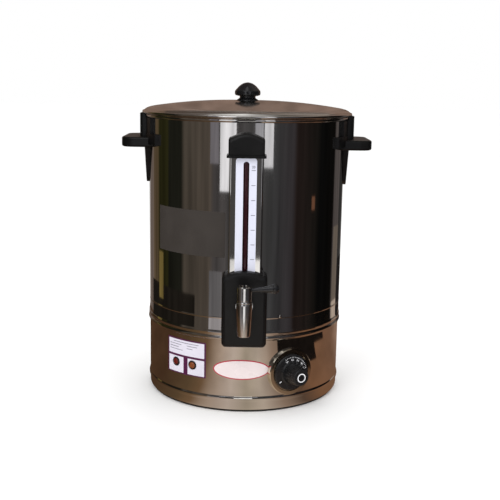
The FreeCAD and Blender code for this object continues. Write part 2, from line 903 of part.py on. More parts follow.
def make_gauge_top_cap():
    back = tank_radius - moulding_sink
    body = pillow(
        cap_half_width, cap_bottom_z, cap_peak_z, cap_corner, back, cap_front_y, cap_arch, cap_edge,
    )
    skirt_front = cap_front_y + cap_skirt_proud
    half = cap_skirt_half_width
    skirt = block(-half, half, -skirt_front, -back, cap_bottom_z, cap_bottom_z + cap_skirt_height)
    uprights = [edge for edge in skirt.Edges if is_outer_upright(edge, skirt_front)]
    body = body.fuse(skirt.makeFillet(cap_skirt_corner, uprights))
    room = cover_half_width + running_gap
    front = cover_front_y + scale_thickness + running_gap
    recess = block(-room, room, -front, -back + tool_spare, cap_bottom_z - tool_spare, cover_top_z)
    socket = cylinder(seal_radius, vec(0, -gauge_y, cover_top_z - 1), glass_top_z - cover_top_z + 1)
    cuts = [recess, socket, drum_clear]
    for x in (-cap_screw_x, cap_screw_x):
        start = wall_y(tank_radius, x) - 2.0
        cuts.append(cylinder(knob_screw_radius, vec(x, -start, cap_screw_z), 2.0 + thread_bite, OUTWARD))
    return body.cut(cuts).removeSplitter()


def make_gauge_cap_screws():
    screws = []
    for x in (-cap_screw_x, cap_screw_x):
        seat = wall_y(tank_inner_radius, cap_screw_x + pan_head_ratio * knob_screw_radius)
        bite = wall_y(tank_radius, x) - seat + thread_bite - thread_end_gap
        screws.append(pan_screw(knob_screw_radius, bite, vec(x, -seat, cap_screw_z), OUTWARD))
    return Part.makeCompound(screws)


# Tap

def make_tap_body():
    front = shroud_front_y
    mid_z = 0.5 * (barrel_top_z + barrel_bottom_z)
    mid_radius = 0.5 * (barrel_top_radius + barrel_bottom_radius) + barrel_belly
    steps = [
        (0, barrel_bottom_z), (barrel_bottom_radius - 0.6, barrel_bottom_z),
        (barrel_bottom_radius, barrel_bottom_z + 0.6),
        (mid_radius, mid_z, barrel_top_radius, barrel_top_z - 2.0),
        (barrel_top_radius - 0.6, barrel_top_z), (0, barrel_top_z),
    ]
    barrel = turned(steps, vec(0, -tap_y, 0))
    shank_end = tank_inner_radius - shank_inside
    shank = cylinder(shank_radius, vec(0, -shank_end, shank_z), tap_y - shank_end, OUTWARD)
    collar = cylinder(collar_radius, vec(0, -front, shank_z), collar_thickness, OUTWARD)
    plug_seat = cylinder(plug_radius, vec(0, -tap_y, plug_bottom_z), barrel_top_z)
    spout = cylinder(barrel_spout_bore, vec(0, -tap_y, barrel_bottom_z - tool_spare), barrel_length)
    water_way = cylinder(shank_bore, vec(0, -shank_end + 1, shank_z), tap_y - shank_end + 1, OUTWARD)
    riser = cylinder(glass_bore, vec(0, -gauge_y, shank_z), shank_radius + tool_spare)
    return barrel.fuse([shank, collar]).cut([plug_seat, spout, water_way, riser]).removeSplitter()


def make_gauge_tee():
    back = tank_radius + washer_thickness
    front = shroud_front_y - shroud_wall
    barrel = cylinder(tee_radius, vec(0, -back, shank_z), front - back, OUTWARD)
    boss = cylinder(tee_boss_radius, vec(0, -gauge_y, shank_z), tee_boss_top_z - shank_z)
    way = cylinder(shank_radius + shank_fit, vec(0, 0, shank_z), tool_through, OUTWARD)
    seat = cylinder(seal_radius, vec(0, -gauge_y, tee_boss_top_z - seal_length), seal_length + tool_spare)
    glass_seat = cylinder(glass_radius + glass_fit, vec(0, -gauge_y, glass_bottom_z), tee_boss_height)
    riser = cylinder(glass_bore, vec(0, -gauge_y, shank_z), tee_boss_height + tool_spare)
    washer_room = cylinder(tank_radius, vec(0, -back, shank_z), tee_radius + tool_spare, INWARD)
    return barrel.fuse(boss).cut([way, seat, glass_seat, riser, washer_room])


def make_tap_washers():
    hole = cylinder(shank_radius, vec(0, 0, shank_z), tool_through, OUTWARD)
    outer = cylinder(tee_radius, vec(0, -tank_radius - washer_thickness, shank_z), tool_spare, INWARD)
    outer = outer.cut([drum_clear, hole])
    inner = cylinder(washer_radius, vec(0, -tank_radius, shank_z), tank_radius - lock_nut_face, INWARD)
    inner = inner.common(cylinder(tank_inner_radius, vec(0, 0, tank_floor_z), shank_z)).cut(hole)
    return Part.makeCompound([outer, inner])


def make_tap_lock_nut():
    nut = hexagon(nut_flats, nut_thickness, vec(0, -lock_nut_face, shank_z), INWARD)
    return nut.cut(cylinder(shank_radius, vec(0, 0, shank_z), tool_through, OUTWARD))


def make_tap_plug():
    radius = plug_radius - plug_clearance
    foot = plug_bottom_z + head_gap
    steps = [
        (0, foot), (radius, foot), (radius, barrel_top_z + head_gap),
        (stem_radius, barrel_top_z + head_gap), (stem_radius, head_top_z), (0, head_top_z),
    ]
    plug = turned(steps, vec(0, -tap_y, 0))
    port = cylinder(plug_port_radius, vec(0, -tap_y, shank_z), plug_radius + tool_spare, vec(-1, 0, 0))
    low = plug_bottom_z - tool_spare
    down = cylinder(plug_port_radius, vec(0, -tap_y, low), shank_z - low)
    elbow = Part.makeSphere(plug_port_radius, vec(0, -tap_y, shank_z))
    groove = Part.makeTorus(radius, plug_ring_section, vec(0, -tap_y, barrel_top_z - plug_ring_drop))
    return plug.cut([port, down, elbow, groove])


def make_tap_plug_ring():
    middle = vec(0, -tap_y, barrel_top_z - plug_ring_drop)
    radius = plug_radius - plug_clearance
    ring = Part.makeTorus(radius, plug_ring_section, middle)
    low = middle.sub(vec(0, 0, tool_spare))
    return ring.common(cylinder(radius, low, 2.0 * tool_spare))


def make_tap_head():
    low = barrel_top_z + head_gap
    steps = [
        (0, low), (head_foot_radius - 0.5, low), (head_foot_radius, low + 0.8),
        (head_radius + 0.1, low + 0.5 * head_foot_height, head_radius, low + head_foot_height),
        (head_radius, head_top_z), (0, head_top_z),
    ]
    head = turned(steps, vec(0, -tap_y, 0))
    stem = cylinder(stem_radius, vec(0, -tap_y, low - tool_spare), 2.0 * head_height)
    return head.cut([stem, make_tap_lever()])


def make_tap_cap_ring():
    dish_z = ring_height - ring_dish_depth
    steps = [
        (0, 0), (head_radius, 0), (head_radius, ring_height - 1.0), (head_radius - 1.0, ring_height),
        (ring_dish_radius, ring_height), (ring_dish_radius - 1.0, dish_z), (0, dish_z),
    ]
    ring = turned(steps, vec(0, -tap_y, head_top_z))
    notches = []
    for index in range(ring_notches):
        notch = block(
            stem_radius, head_radius + tool_spare, -0.5 * ring_notch_width, 0.5 * ring_notch_width,
            ring_height - ring_notch_depth, ring_height + tool_spare,
        )
        notch.rotate(CENTRE, UP, 360.0 * (index + 0.5) / ring_notches)
        notch.translate(vec(0, -tap_y, head_top_z))
        notches.append(notch)
    return ring.cut(Part.makeCompound(notches))


def make_tap_lever():
    """Club-shaped lever: a thin neck that swells to a round-ended grip."""
    length = lever_end_x - lever_start_x
    neck = lever_neck_radius
    tip = lever_tip_radius
    steps = [
        (0, -lever_root), (neck, -lever_root), (neck, 3.0),
        (0.5 * (neck + tip) - 0.4, 0.42 * length, tip, 0.78 * length),
        (0.92 * tip, length - 2.2, 0.55 * tip, length - 0.5),
        (0, length),
    ]
    rise = math.radians(lever_rise_degrees)
    return turned(steps, vec(lever_start_x, -tap_y, lever_z), vec(math.cos(rise), 0, math.sin(rise)))


# Tap shroud

def make_tap_shroud():
    edge = shroud_edge
    back = tank_radius - moulding_sink
    outer = pillow(
        shroud_half_width, shroud_bottom_z, shroud_top_z, shroud_corner, back, shroud_front_y,
        shroud_arch_drop, edge,
    )
    wall = shroud_wall
    inner = pillow(
        shroud_half_width - wall, shroud_bottom_z + wall, shroud_top_z - wall, shroud_corner - wall,
        back - 1.0, shroud_front_y - wall, shroud_arch_drop, edge - 1.0,
    )
    room = cover_half_width + running_gap
    front = cover_front_y + scale_thickness + running_gap
    mouth_z = cover_bottom_z - 2.0
    mouth = block(-room, room, -front, -back + tool_spare, mouth_z, shroud_top_z + tool_spare)
    shank_hole = cylinder(pin_hole(shank_radius), vec(0, -back, shank_z), tool_through, OUTWARD)
    bead_clear = cylinder(upper_bead_radius + neck_clearance, CENTRE, skirt_roll_top_z + running_gap)
    return outer.cut([inner, mouth, shank_hole, drum_clear, bead_clear])


# Thermostat and dial, drawn at the front and turned to the dial's azimuth

def make_dial_bezel():
    back = bezel_front - bezel_depth
    floor = bezel_front - bezel_step
    rim = skirt_radius + skirt_room
    steps = [
        (bezel_bore, back), (bezel_radius, back),
        (bezel_radius, bezel_front - bezel_lip), (bezel_radius - bezel_lip, bezel_front),
        (rim, bezel_front), (rim - 0.8, floor), (bezel_bore, floor),
    ]
    ring = turned(steps, vec(0, 0, dial_z), OUTWARD)
    ring = ring.cut(cylinder(base_radius, CENTRE, tank_radius))
    return at_azimuth(ring, dial_azimuth)


def make_dial_knob():
    back = bezel_front
    skirt = skirt_radius
    face = back + skirt_thickness
    steps = [
        (0, back), (skirt, back), (skirt, back + 0.5 * skirt_thickness), (skirt - skirt_edge, face),
        (hub_radius + 2.0, face + 1.0), (hub_radius, face + hub_foot),
        (hub_end_radius, hub_reach - hub_corner), (hub_end_radius - hub_corner, hub_reach), (0, hub_reach),
    ]
    knob = turned(steps, vec(0, 0, dial_z), OUTWARD)
    flutes = []
    low_reach = hub_radius + hub_flute_set
    end_reach = hub_end_radius + hub_flute_set
    for index in range(hub_flutes):
        angle = 2.0 * math.pi * index / hub_flutes
        across = math.cos(angle)
        rise = math.sin(angle)
        low = vec(low_reach * across, -(face + hub_foot + running_gap), dial_z + low_reach * rise)
        high = vec(end_reach * across, -(hub_reach + 1.0), dial_z + end_reach * rise)
        run = high.sub(low)
        flutes.append(cylinder(hub_flute_radius, low, run.Length, run))
    knob = knob.cut(Part.makeCompound(flutes))
    bore_start = back - tool_spare
    bore = cylinder(spindle_radius, vec(0, -bore_start, dial_z), spindle_end - bore_start, OUTWARD)
    cap_seat = vec(0, -hub_reach + hub_cap_thickness, dial_z)
    seat = cylinder(hub_cap_radius, cap_seat, tool_spare, OUTWARD)
    return at_azimuth(knob.cut([bore, seat]), dial_azimuth)


def make_hub_cap():
    cap = cylinder(hub_cap_radius, vec(0, -hub_reach + hub_cap_thickness, dial_z), hub_cap_thickness, OUTWARD)
    return at_azimuth(cap, dial_azimuth)


def make_spindle():
    start = thermostat_front - spindle_inside
    spindle = cylinder(spindle_radius, vec(0, -start, dial_z), spindle_end - start, OUTWARD)
    return at_azimuth(spindle, dial_azimuth)


def make_thermostat_body():
    half = 0.5 * thermostat_width
    front = thermostat_front
    case = block(-half, half, -front, -front + thermostat_depth, dial_z - half, dial_z + half)
    long_edges = [edge for edge in case.Edges if abs(edge.BoundBox.YLength - thermostat_depth) < 0.01]
    case = case.makeFillet(thermostat_corner, long_edges)
    nose = cylinder(nose_radius, vec(0, -front, dial_z), 2.0 * bracket_sheet, OUTWARD)
    bore_start = vec(0, -front + spindle_inside + 1.0, dial_z)
    bore = cylinder(spindle_radius + spindle_fit, bore_start, tool_through, OUTWARD)
    return at_azimuth(case.fuse(nose).cut(bore), dial_azimuth)


def make_thermostat_bracket():
    half = 0.5 * thermostat_width
    front = thermostat_front
    plate = block(-half, half, -front - bracket_sheet, -front, dial_z - half, dial_z + half)
    ears = []
    reach = wall_y(base_inner_radius, half)
    low = dial_z - half
    high = dial_z + half
    for x in (-half, half - bracket_ear):
        ears.append(block(x, x + bracket_ear, -reach, -front, low, low + bracket_sheet))
        ears.append(block(x, x + bracket_ear, -reach, -front, high - bracket_sheet, high))
    hole = cylinder(nose_radius, vec(0, -front, dial_z), tool_through, OUTWARD)
    return at_azimuth(plate.fuse(ears).cut(hole), dial_azimuth)


def make_thermostat_bulb():
    """Sensing bulb clipped under the tank floor, with its capillary down to the thermostat."""
    foot = thermostat_top()
    bulb = cylinder(bulb_radius, vec(foot.x - bulb_length, foot.y, bulb_z), bulb_length, vec(1, 0, 0))
    corner = capillary_bend
    low_corner = capillary_low_bend
    share = math.sqrt(0.5)
    start = vec(foot.x, foot.y, bulb_z)
    turn_in = vec(start.x + corner, foot.y, bulb_z)
    bend_mid = vec(turn_in.x + corner * share, foot.y, bulb_z - corner * (1.0 - share))
    turn_out = vec(turn_in.x + corner, foot.y, bulb_z - corner)
    low = vec(turn_out.x, foot.y, foot.z + 2.0 * low_corner)
    back_mid = vec(low.x - low_corner * (1.0 - share), foot.y, low.z - low_corner * share)
    back = vec(low.x - low_corner, foot.y, low.z - low_corner)
    end = vec(foot.x + 0.5 * corner, foot.y, back.z)
    path = Part.Wire([
        Part.makeLine(start, turn_in), Part.Arc(turn_in, bend_mid, turn_out).toShape(),
        Part.makeLine(turn_out, low), Part.Arc(low, back_mid, back).toShape(),
        Part.makeLine(back, end),
    ])
    ring = Part.Wire(Part.makeCircle(capillary_radius, start, vec(1, 0, 0)))
    capillary = path.makePipeShell([ring], True, False)
    drop_radius = 1.6 * capillary_radius
    drop = cylinder(drop_radius, vec(end.x, end.y, foot.z), back.z - foot.z + capillary_radius)
    return bulb.fuse([capillary, drop])


def thermostat_top():
    """Middle of the thermostat's upper face, where the capillary comes out."""
    azimuth = math.radians(dial_azimuth)
    middle = thermostat_front - 0.5 * thermostat_depth
    top_z = dial_z + 0.5 * thermostat_width
    return vec(middle * math.sin(azimuth), -middle * math.cos(azimuth), top_z)


def make_bulb_clips():
    foot = thermostat_top()
    y = foot.y
    half = bulb_radius + clip_sheet
    clips = []
    for share in (0.25, 0.75):
        low = foot.x - share * bulb_length - 0.5 * clip_width
        high = low + clip_width
        saddle = block(low, high, y - half, y + half, bulb_z - half, floor_under_z)
        feet = block(low, high, y - 2.5 * half, y + 2.5 * half, floor_under_z - 1.0, floor_under_z)
        room = block(low - 2.0, high + 2.0, y - bulb_radius, y + bulb_radius, bulb_z, tank_floor_z)
        bore = cylinder(bulb_radius, vec(low - 2.0, y, bulb_z), clip_width + 4.0, vec(1, 0, 0))
        clips.append(saddle.fuse(feet).cut([bore, room]))
    return Part.makeCompound(clips)


# Pilot lamps

def make_lamp_lens(azimuth):
    back = lamp_lens_back()
    front = base_radius + lamp_rim_thickness
    top = front + lamp_lens_dome
    inner = lamp_hole - lamp_wall
    steps = [
        (0, back), (inner, back), (inner, front), (lamp_lens_radius - lamp_wall, front),
        (0.5 * lamp_lens_radius, front + 0.75 * lamp_lens_dome, 0.1 * lamp_lens_radius, top), (0, top),
    ]
    return at_azimuth(turned(steps, vec(0, 0, lamp_z), OUTWARD), azimuth)


def lamp_lens_back():
    return wall_y(base_radius, lamp_lens_radius) - lamp_lens_length


def make_lamp_body(azimuth):
    back = base_inner_radius - lamp_body_length
    rim_back = base_radius - lamp_rim_sink
    front = base_radius + lamp_rim_thickness
    inner = lamp_hole - lamp_wall
    steps = [
        (0, back), (inner, back), (lamp_hole, back + 2.0), (lamp_hole, rim_back),
        (lamp_lens_radius, rim_back), (lamp_lens_radius, front),
        (inner, front), (inner, lamp_lens_back()), (0, lamp_lens_back()),
    ]
    body = turned(steps, vec(0, 0, lamp_z), OUTWARD)
    way = cylinder(lamp_hole, vec(0, 0, lamp_z), tool_through, OUTWARD)
    keep = cylinder(base_radius, CENTRE, tank_radius).cut(way)
    return at_azimuth(body.cut(keep), azimuth)


def make_lamp_clips():
    clips = []
    for azimuth in lamp_azimuths:
        outer = lamp_lens_radius + lamp_clip_side
        back = wall_y(base_inner_radius, outer) - lamp_clip_thickness
        ring = tube(outer, lamp_hole, vec(0, -back, lamp_z), lamp_clip_thickness, OUTWARD)
        clips.append(at_azimuth(ring, azimuth))
    return Part.makeCompound(clips)


# Heating element

def make_heating_element():
    """Tubular element: a loop above the floor whose two ends turn down through the floor."""
    bend = element_bend
    radius = element_loop_radius
    end_angle = element_end_angle()
    loop_start = vec(radius * math.sin(end_angle), radius * math.cos(end_angle), element_z)
    loop_end = vec(-loop_start.x, loop_start.y, element_z)
    front = vec(0, -radius, element_z)
    loop = Part.Arc(loop_start, front, loop_end).toShape()
    tangent = vec(-math.cos(end_angle), math.sin(end_angle), 0)
    leg_foot = vec(loop_start.x + bend * tangent.x, loop_start.y + bend * tangent.y, element_z - bend)
    middle = vec(
        loop_start.x + bend * math.sin(math.pi / 4) * tangent.x,
        loop_start.y + bend * math.sin(math.pi / 4) * tangent.y,
        element_z - bend * (1.0 - math.cos(math.pi / 4)),
    )
    pieces = []
    for sign in (1.0, -1.0):
        top = vec(sign * loop_start.x, loop_start.y, element_z)
        mid = vec(sign * middle.x, middle.y, middle.z)
        foot = vec(sign * leg_foot.x, leg_foot.y, leg_foot.z)
        arc = Part.Wire([Part.Arc(top, mid, foot).toShape()])
        ring = Part.Wire(Part.makeCircle(element_tube_radius, top, vec(sign * tangent.x, tangent.y, 0)))
        pieces.append(arc.makePipeShell([ring], True, False))
        tail = vec(foot.x, foot.y, element_tail_z)
        pieces.append(cylinder(element_tube_radius, tail, foot.z - element_tail_z))
    section = Part.Wire(Part.makeCircle(element_tube_radius, loop_start, vec(-tangent.x, -tangent.y, 0)))
    pieces.append(Part.Wire([loop]).makePipeShell([section], True, False))
    return pieces[0].fuse(pieces[1:])


def element_end_angle():
    """Angle from the back at which the loop ends and a leg begins to turn down."""
    start = math.atan2(element_leg_x, wall_y(element_loop_radius, element_leg_x))
    return start + element_bend / element_loop_radius


def element_leg_place():
    angle = element_end_angle()
    x = element_loop_radius * math.sin(angle) - element_bend * math.cos(angle)
    y = element_loop_radius * math.cos(angle) + element_bend * math.sin(angle)
    return x, y


def make_element_nuts():
    low = floor_under_z - element_nut_thickness
    x, y = element_leg_place()
    nuts = []
    for side in (-x, x):
        nut = hexagon(element_nut_flats, element_nut_thickness, vec(side, y, low))
        hole = cylinder(element_tube_radius, vec(side, y, low - tool_spare), 3.0 * tool_spare)
        nuts.append(nut.cut(hole))
    return Part.makeCompound(nuts)


def make_element_seals():
    x, y = element_leg_place()
    seals = []
    for side in (-x, x):
        start = vec(side, y, tank_floor_z)
        seals.append(tube(seal_washer_radius, element_tube_radius, start, seal_washer_thickness))
    return Part.makeCompound(seals)


def make_boil_dry_cutout():
    cup_z = floor_under_z - cutout_height
    cup = cylinder(cutout_radius, vec(cutout_x, cutout_y, cup_z), cutout_height)
    half = 0.5 * cutout_tab_sheet
    near = cutout_y - 0.5 * cutout_tab_width
    far = cutout_y + 0.5 * cutout_tab_width
    tabs = []
    for x in (cutout_x - 0.5 * cutout_tab_gap, cutout_x + 0.5 * cutout_tab_gap):
        tabs.append(block(x - half, x + half, near, far, cup_z - cutout_tab_length, cup_z + 1.0))
    return cup.fuse(tabs)


def make_cutout_bracket():
    half = cutout_radius + cutout_strap_side
    depth = cutout_radius + cutout_strap_edge
    strap = block(
        cutout_x - half, cutout_x + half, cutout_y - depth, cutout_y + depth,
        floor_under_z - clamp_sheet, floor_under_z,
    )
    return strap.cut(cylinder(cutout_radius, vec(cutout_x, cutout_y, 0), tank_rim_z))


# Rear cable gland and terminal block

def make_cable_gland():
    face = base_radius
    seat = wall_y(base_radius, gland_flange_radius)
    steps = [
        (gland_bore, seat - base_wall - gland_inside), (gland_body_radius, seat - base_wall - gland_inside),
        (gland_body_radius, seat - 1.0), (gland_flange_radius, seat - 1.0),
        (gland_flange_radius, face + gland_flange_thickness),
        (gland_body_radius, face + gland_flange_thickness + 1.0),
        (gland_bore + 2.0, face + gland_outside), (gland_bore, face + gland_outside),
    ]
    gland = turned(steps, vec(0, 0, gland_z), INWARD)
    way = cylinder(gland_body_radius, vec(0, 0, gland_z), tool_through, INWARD)
    keep = cylinder(base_radius, CENTRE, tank_radius).cut(way)
    return gland.cut(keep)


def make_gland_nut():
    back = wall_y(base_inner_radius, gland_nut_flats / math.sqrt(3.0)) - gland_nut_thickness
    nut = hexagon(gland_nut_flats, gland_nut_thickness, vec(0, back, gland_z), INWARD)
    return nut.cut(cylinder(gland_body_radius, vec(0, 0, gland_z), tool_through, INWARD))


def make_terminal_block():
    low = plate_z + bottom_plate_thickness
    half = 0.5 * block_length
    body = block(-half, half, block_y, block_y + block_width, low, low + block_height)
    pitch = block_length / block_poles
    cuts = []
    for index in range(block_poles):
        x = -half + (index + 0.5) * pitch
        hole_z = low + block_hole_z
        cuts.append(cylinder(block_wire_radius, vec(x, block_y - 1, hole_z), block_width + 2, INWARD))
        for y in (block_y + block_screw_inset, block_y + block_width - block_screw_inset):
            cuts.append(cylinder(block_screw_radius, vec(x, y, hole_z), block_height))
        if index > 0:
            near = -half + index * pitch - 0.5 * block_groove
            far = near + block_groove
            deep = block_y + block_screw_inset - 1.0
            cuts.append(block(near, far, block_y - 1, deep, low + block_groove_floor, low + 2 * block_height))
    return body.cut(cuts)


def save(name, shape):
    solids = shape.Solids
    for solid in solids:
        if not solid.isValid() or solid.Volume <= 0:
            print("check", name, "valid", solid.isValid(), "volume", round(solid.Volume, 2))
    kept = solids[0] if len(solids) == 1 else Part.makeCompound(solids)
    kept.exportStep(os.path.join("parts", name + ".step"))
    print(name, len(solids))


def main():
    os.makedirs("parts", exist_ok=True)
    save("tank", make_tank())
    save("base_shell", make_base_shell())
    save("bottom_plate", make_bottom_plate())
    save("bottom_plate_screws", make_bottom_plate_screws())
    save("foot_ring", make_foot_ring())
    save("shell_rivets", make_shell_rivets())
    save("lid", make_lid())
    save("lid_locating_ring", make_lid_ring())
    save("lid_knob", make_lid_knob())
    save("lid_knob_washer", make_knob_washer())
    save("lid_knob_screw", make_knob_screw())
    for name, side in (("right", 90.0), ("left", -90.0)):
        save(name + "_handle", make_handle(side))
        save(name + "_handle_screws", make_handle_screws(side))
    save("gauge_cover", make_gauge_cover())
    save("scale_plate", make_scale_plate())
    save("gauge_glass", make_gauge_glass())
    save("gauge_seals", make_gauge_seals())
    save("gauge_top_cap", make_gauge_top_cap())
    save("gauge_cap_screws", make_gauge_cap_screws())
    save("gauge_tee", make_gauge_tee())
    save("tap_shroud", make_tap_shroud())
    save("tap_body", make_tap_body())
    save("tap_washers", make_tap_washers())
    save("tap_lock_nut", make_tap_lock_nut())
    save("tap_plug", make_tap_plug())
    save("tap_plug_ring", make_tap_plug_ring())
    save("tap_head", make_tap_head())
    save("tap_cap_ring", make_tap_cap_ring())
    save("tap_lever", make_tap_lever())
    save("dial_bezel", make_dial_bezel())
    save("dial_knob", make_dial_knob())
    save("dial_hub_cap", make_hub_cap())
    save("thermostat_spindle", make_spindle())
    save("thermostat_body", make_thermostat_body())
    save("thermostat_bracket", make_thermostat_bracket())
    save("thermostat_bulb", make_thermostat_bulb())
    save("bulb_clips", make_bulb_clips())
    save("red_lamp_lens", make_lamp_lens(lamp_azimuths[0]))
    save("red_lamp_body", make_lamp_body(lamp_azimuths[0]))
    save("amber_lamp_lens", make_lamp_lens(lamp_azimuths[1]))
    save("amber_lamp_body", make_lamp_body(lamp_azimuths[1]))
    save("lamp_clips", make_lamp_clips())
    save("heating_element", make_heating_element())
    save("element_nuts", make_element_nuts())
    save("element_seals", make_element_seals())
    save("boil_dry_cutout", make_boil_dry_cutout())
    save("cutout_bracket", make_cutout_bracket())
    save("cable_gland", make_cable_gland())
    save("gland_nut", make_gland_nut())
    save("terminal_block", make_terminal_block())


main()
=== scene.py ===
import math

import bmesh
import bpy
from mathutils import Matrix, Vector


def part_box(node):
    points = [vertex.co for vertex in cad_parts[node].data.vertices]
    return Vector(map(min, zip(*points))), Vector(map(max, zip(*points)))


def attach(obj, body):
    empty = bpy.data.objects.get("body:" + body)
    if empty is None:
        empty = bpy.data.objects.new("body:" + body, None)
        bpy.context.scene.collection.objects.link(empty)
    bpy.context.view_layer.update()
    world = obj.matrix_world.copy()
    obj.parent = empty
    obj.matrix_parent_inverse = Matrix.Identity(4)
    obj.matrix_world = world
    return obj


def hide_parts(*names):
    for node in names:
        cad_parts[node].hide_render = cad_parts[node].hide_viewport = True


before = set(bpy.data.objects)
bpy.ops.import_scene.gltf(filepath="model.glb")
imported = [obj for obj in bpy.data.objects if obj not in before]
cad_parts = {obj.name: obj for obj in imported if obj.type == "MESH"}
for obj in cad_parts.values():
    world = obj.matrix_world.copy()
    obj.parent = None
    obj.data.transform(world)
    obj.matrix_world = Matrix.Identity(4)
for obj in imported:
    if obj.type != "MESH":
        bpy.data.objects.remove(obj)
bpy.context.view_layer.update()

bl_info = {
    "name": "Hot Water Urn",
    "version": (1, 0, 0),
    "blender": (4, 5, 0),
    "location": "View3D > Sidebar > Urn",
    "description": "Dresses a catering hot water urn: steel, mouldings, gauge, tap, dial, labels and stage",
    "category": "Object",
}

MM = 0.001
TANK_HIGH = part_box("tank")[1]
SCALE_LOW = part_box("scale_plate")[0]
RIM_ROLL = 3.0 * MM
DRUM_RADIUS = TANK_HIGH.x - 2.0 * RIM_ROLL
UPRIGHT = Matrix.Rotation(math.radians(90), 4, "X")
DRUM_SEGMENTS = 256
SMALL_SEGMENTS = 96
FILM_STRIPS = 40
SHARP_TURN = math.radians(32)
FILM_SHARP_TURN = math.radians(30)
# Thickness of the printed marks and figures
PRINT = 0.2 * MM
GAUGE_MARKS = 7

# Heights and radii of the drum, base and foot, in mm
SKIRT_Z = 115.5
SKIRT_ROLL_TOP = 124.0
SEAM_Z = 142.5
SEAM_HALF = 1.5
TANK_FLOOR = 149.0
TANK_FLOOR_UNDER = 147.8
TANK_FLOOR_CORNER = 5.0
RIM_LOW = 421.5
RIM_TOP = 427.5
NECK_TOP = 146.8
UPPER_BEAD_LOW = 108.5
LOWER_BEAD_TOP = 25.0
LOWER_BEAD_LOW = 16.0
FLANGE_Z = 2.5
FLANGE_INNER = 120.0
FOOT_INNER = 136.0
FOOT_OUTER = 145.5

# Lid and knob, in mm
LID_EDGE = 158.2
LID_REACH = 160.4
LID_TOP = 447.5
KNOB_CAP = 19.6
KNOB_TOP = 475.0

# Places round the drum, from the tap towards +X
DIAL_AZIMUTH = math.radians(27.2)
LAMP_AZIMUTHS = (math.radians(-41.9), math.radians(-30.1))
DIAL_Z = 59.4 * MM
HUB_FACE = 184.0 * MM
LAMP_Z = 65.3 * MM
BADGE_Z = 65.5 * MM
BADGE_AZIMUTH = math.radians(-1.1)


class UrnSizes(bpy.types.PropertyGroup):
    """Sizes that a user of the urn would change."""

    drum_radius: bpy.props.FloatProperty(
        name="Drum radius", description="Outside radius of the tank", default=DRUM_RADIUS, unit="LENGTH")
    base_radius: bpy.props.FloatProperty(
        name="Base radius", description="Outside radius of the base shell", default=0.149, unit="LENGTH")
    sheet: bpy.props.FloatProperty(
        name="Sheet", description="Thickness of the steel sheet", default=0.001, unit="LENGTH")
    tick_gap: bpy.props.FloatProperty(
        name="Scale step", description="Distance between two marks of the gauge scale", default=0.0207,
        unit="LENGTH")
    label_skin: bpy.props.FloatProperty(
        name="Label skin", description="Thickness of the printed labels", default=0.00035, unit="LENGTH")


class UrnColours(bpy.types.PropertyGroup):
    """Colours that a user of the urn would change."""

    steel: bpy.props.FloatVectorProperty(
        name="Steel", description="Colour of the polished steel", subtype="COLOR", size=3,
        default=(0.82, 0.80, 0.77))
    moulding: bpy.props.FloatVectorProperty(
        name="Mouldings", description="Colour of handles, shroud and cap", subtype="COLOR", size=3,
        default=(0.0045, 0.0042, 0.0044))
    frame_colour: bpy.props.FloatVectorProperty(
        name="Lamp panel", description="Colour of the lamp panel's frame", subtype="COLOR", size=3,
        default=(0.085, 0.006, 0.055))
    badge_rim: bpy.props.FloatVectorProperty(
        name="Badge rim", description="Colour of the badge's rim", subtype="COLOR", size=3,
        default=(0.48, 0.02, 0.05))
    patch: bpy.props.FloatVectorProperty(
        name="Blank label", description="Colour of the blank label on the drum", subtype="COLOR", size=3,
        default=(0.040, 0.031, 0.025))


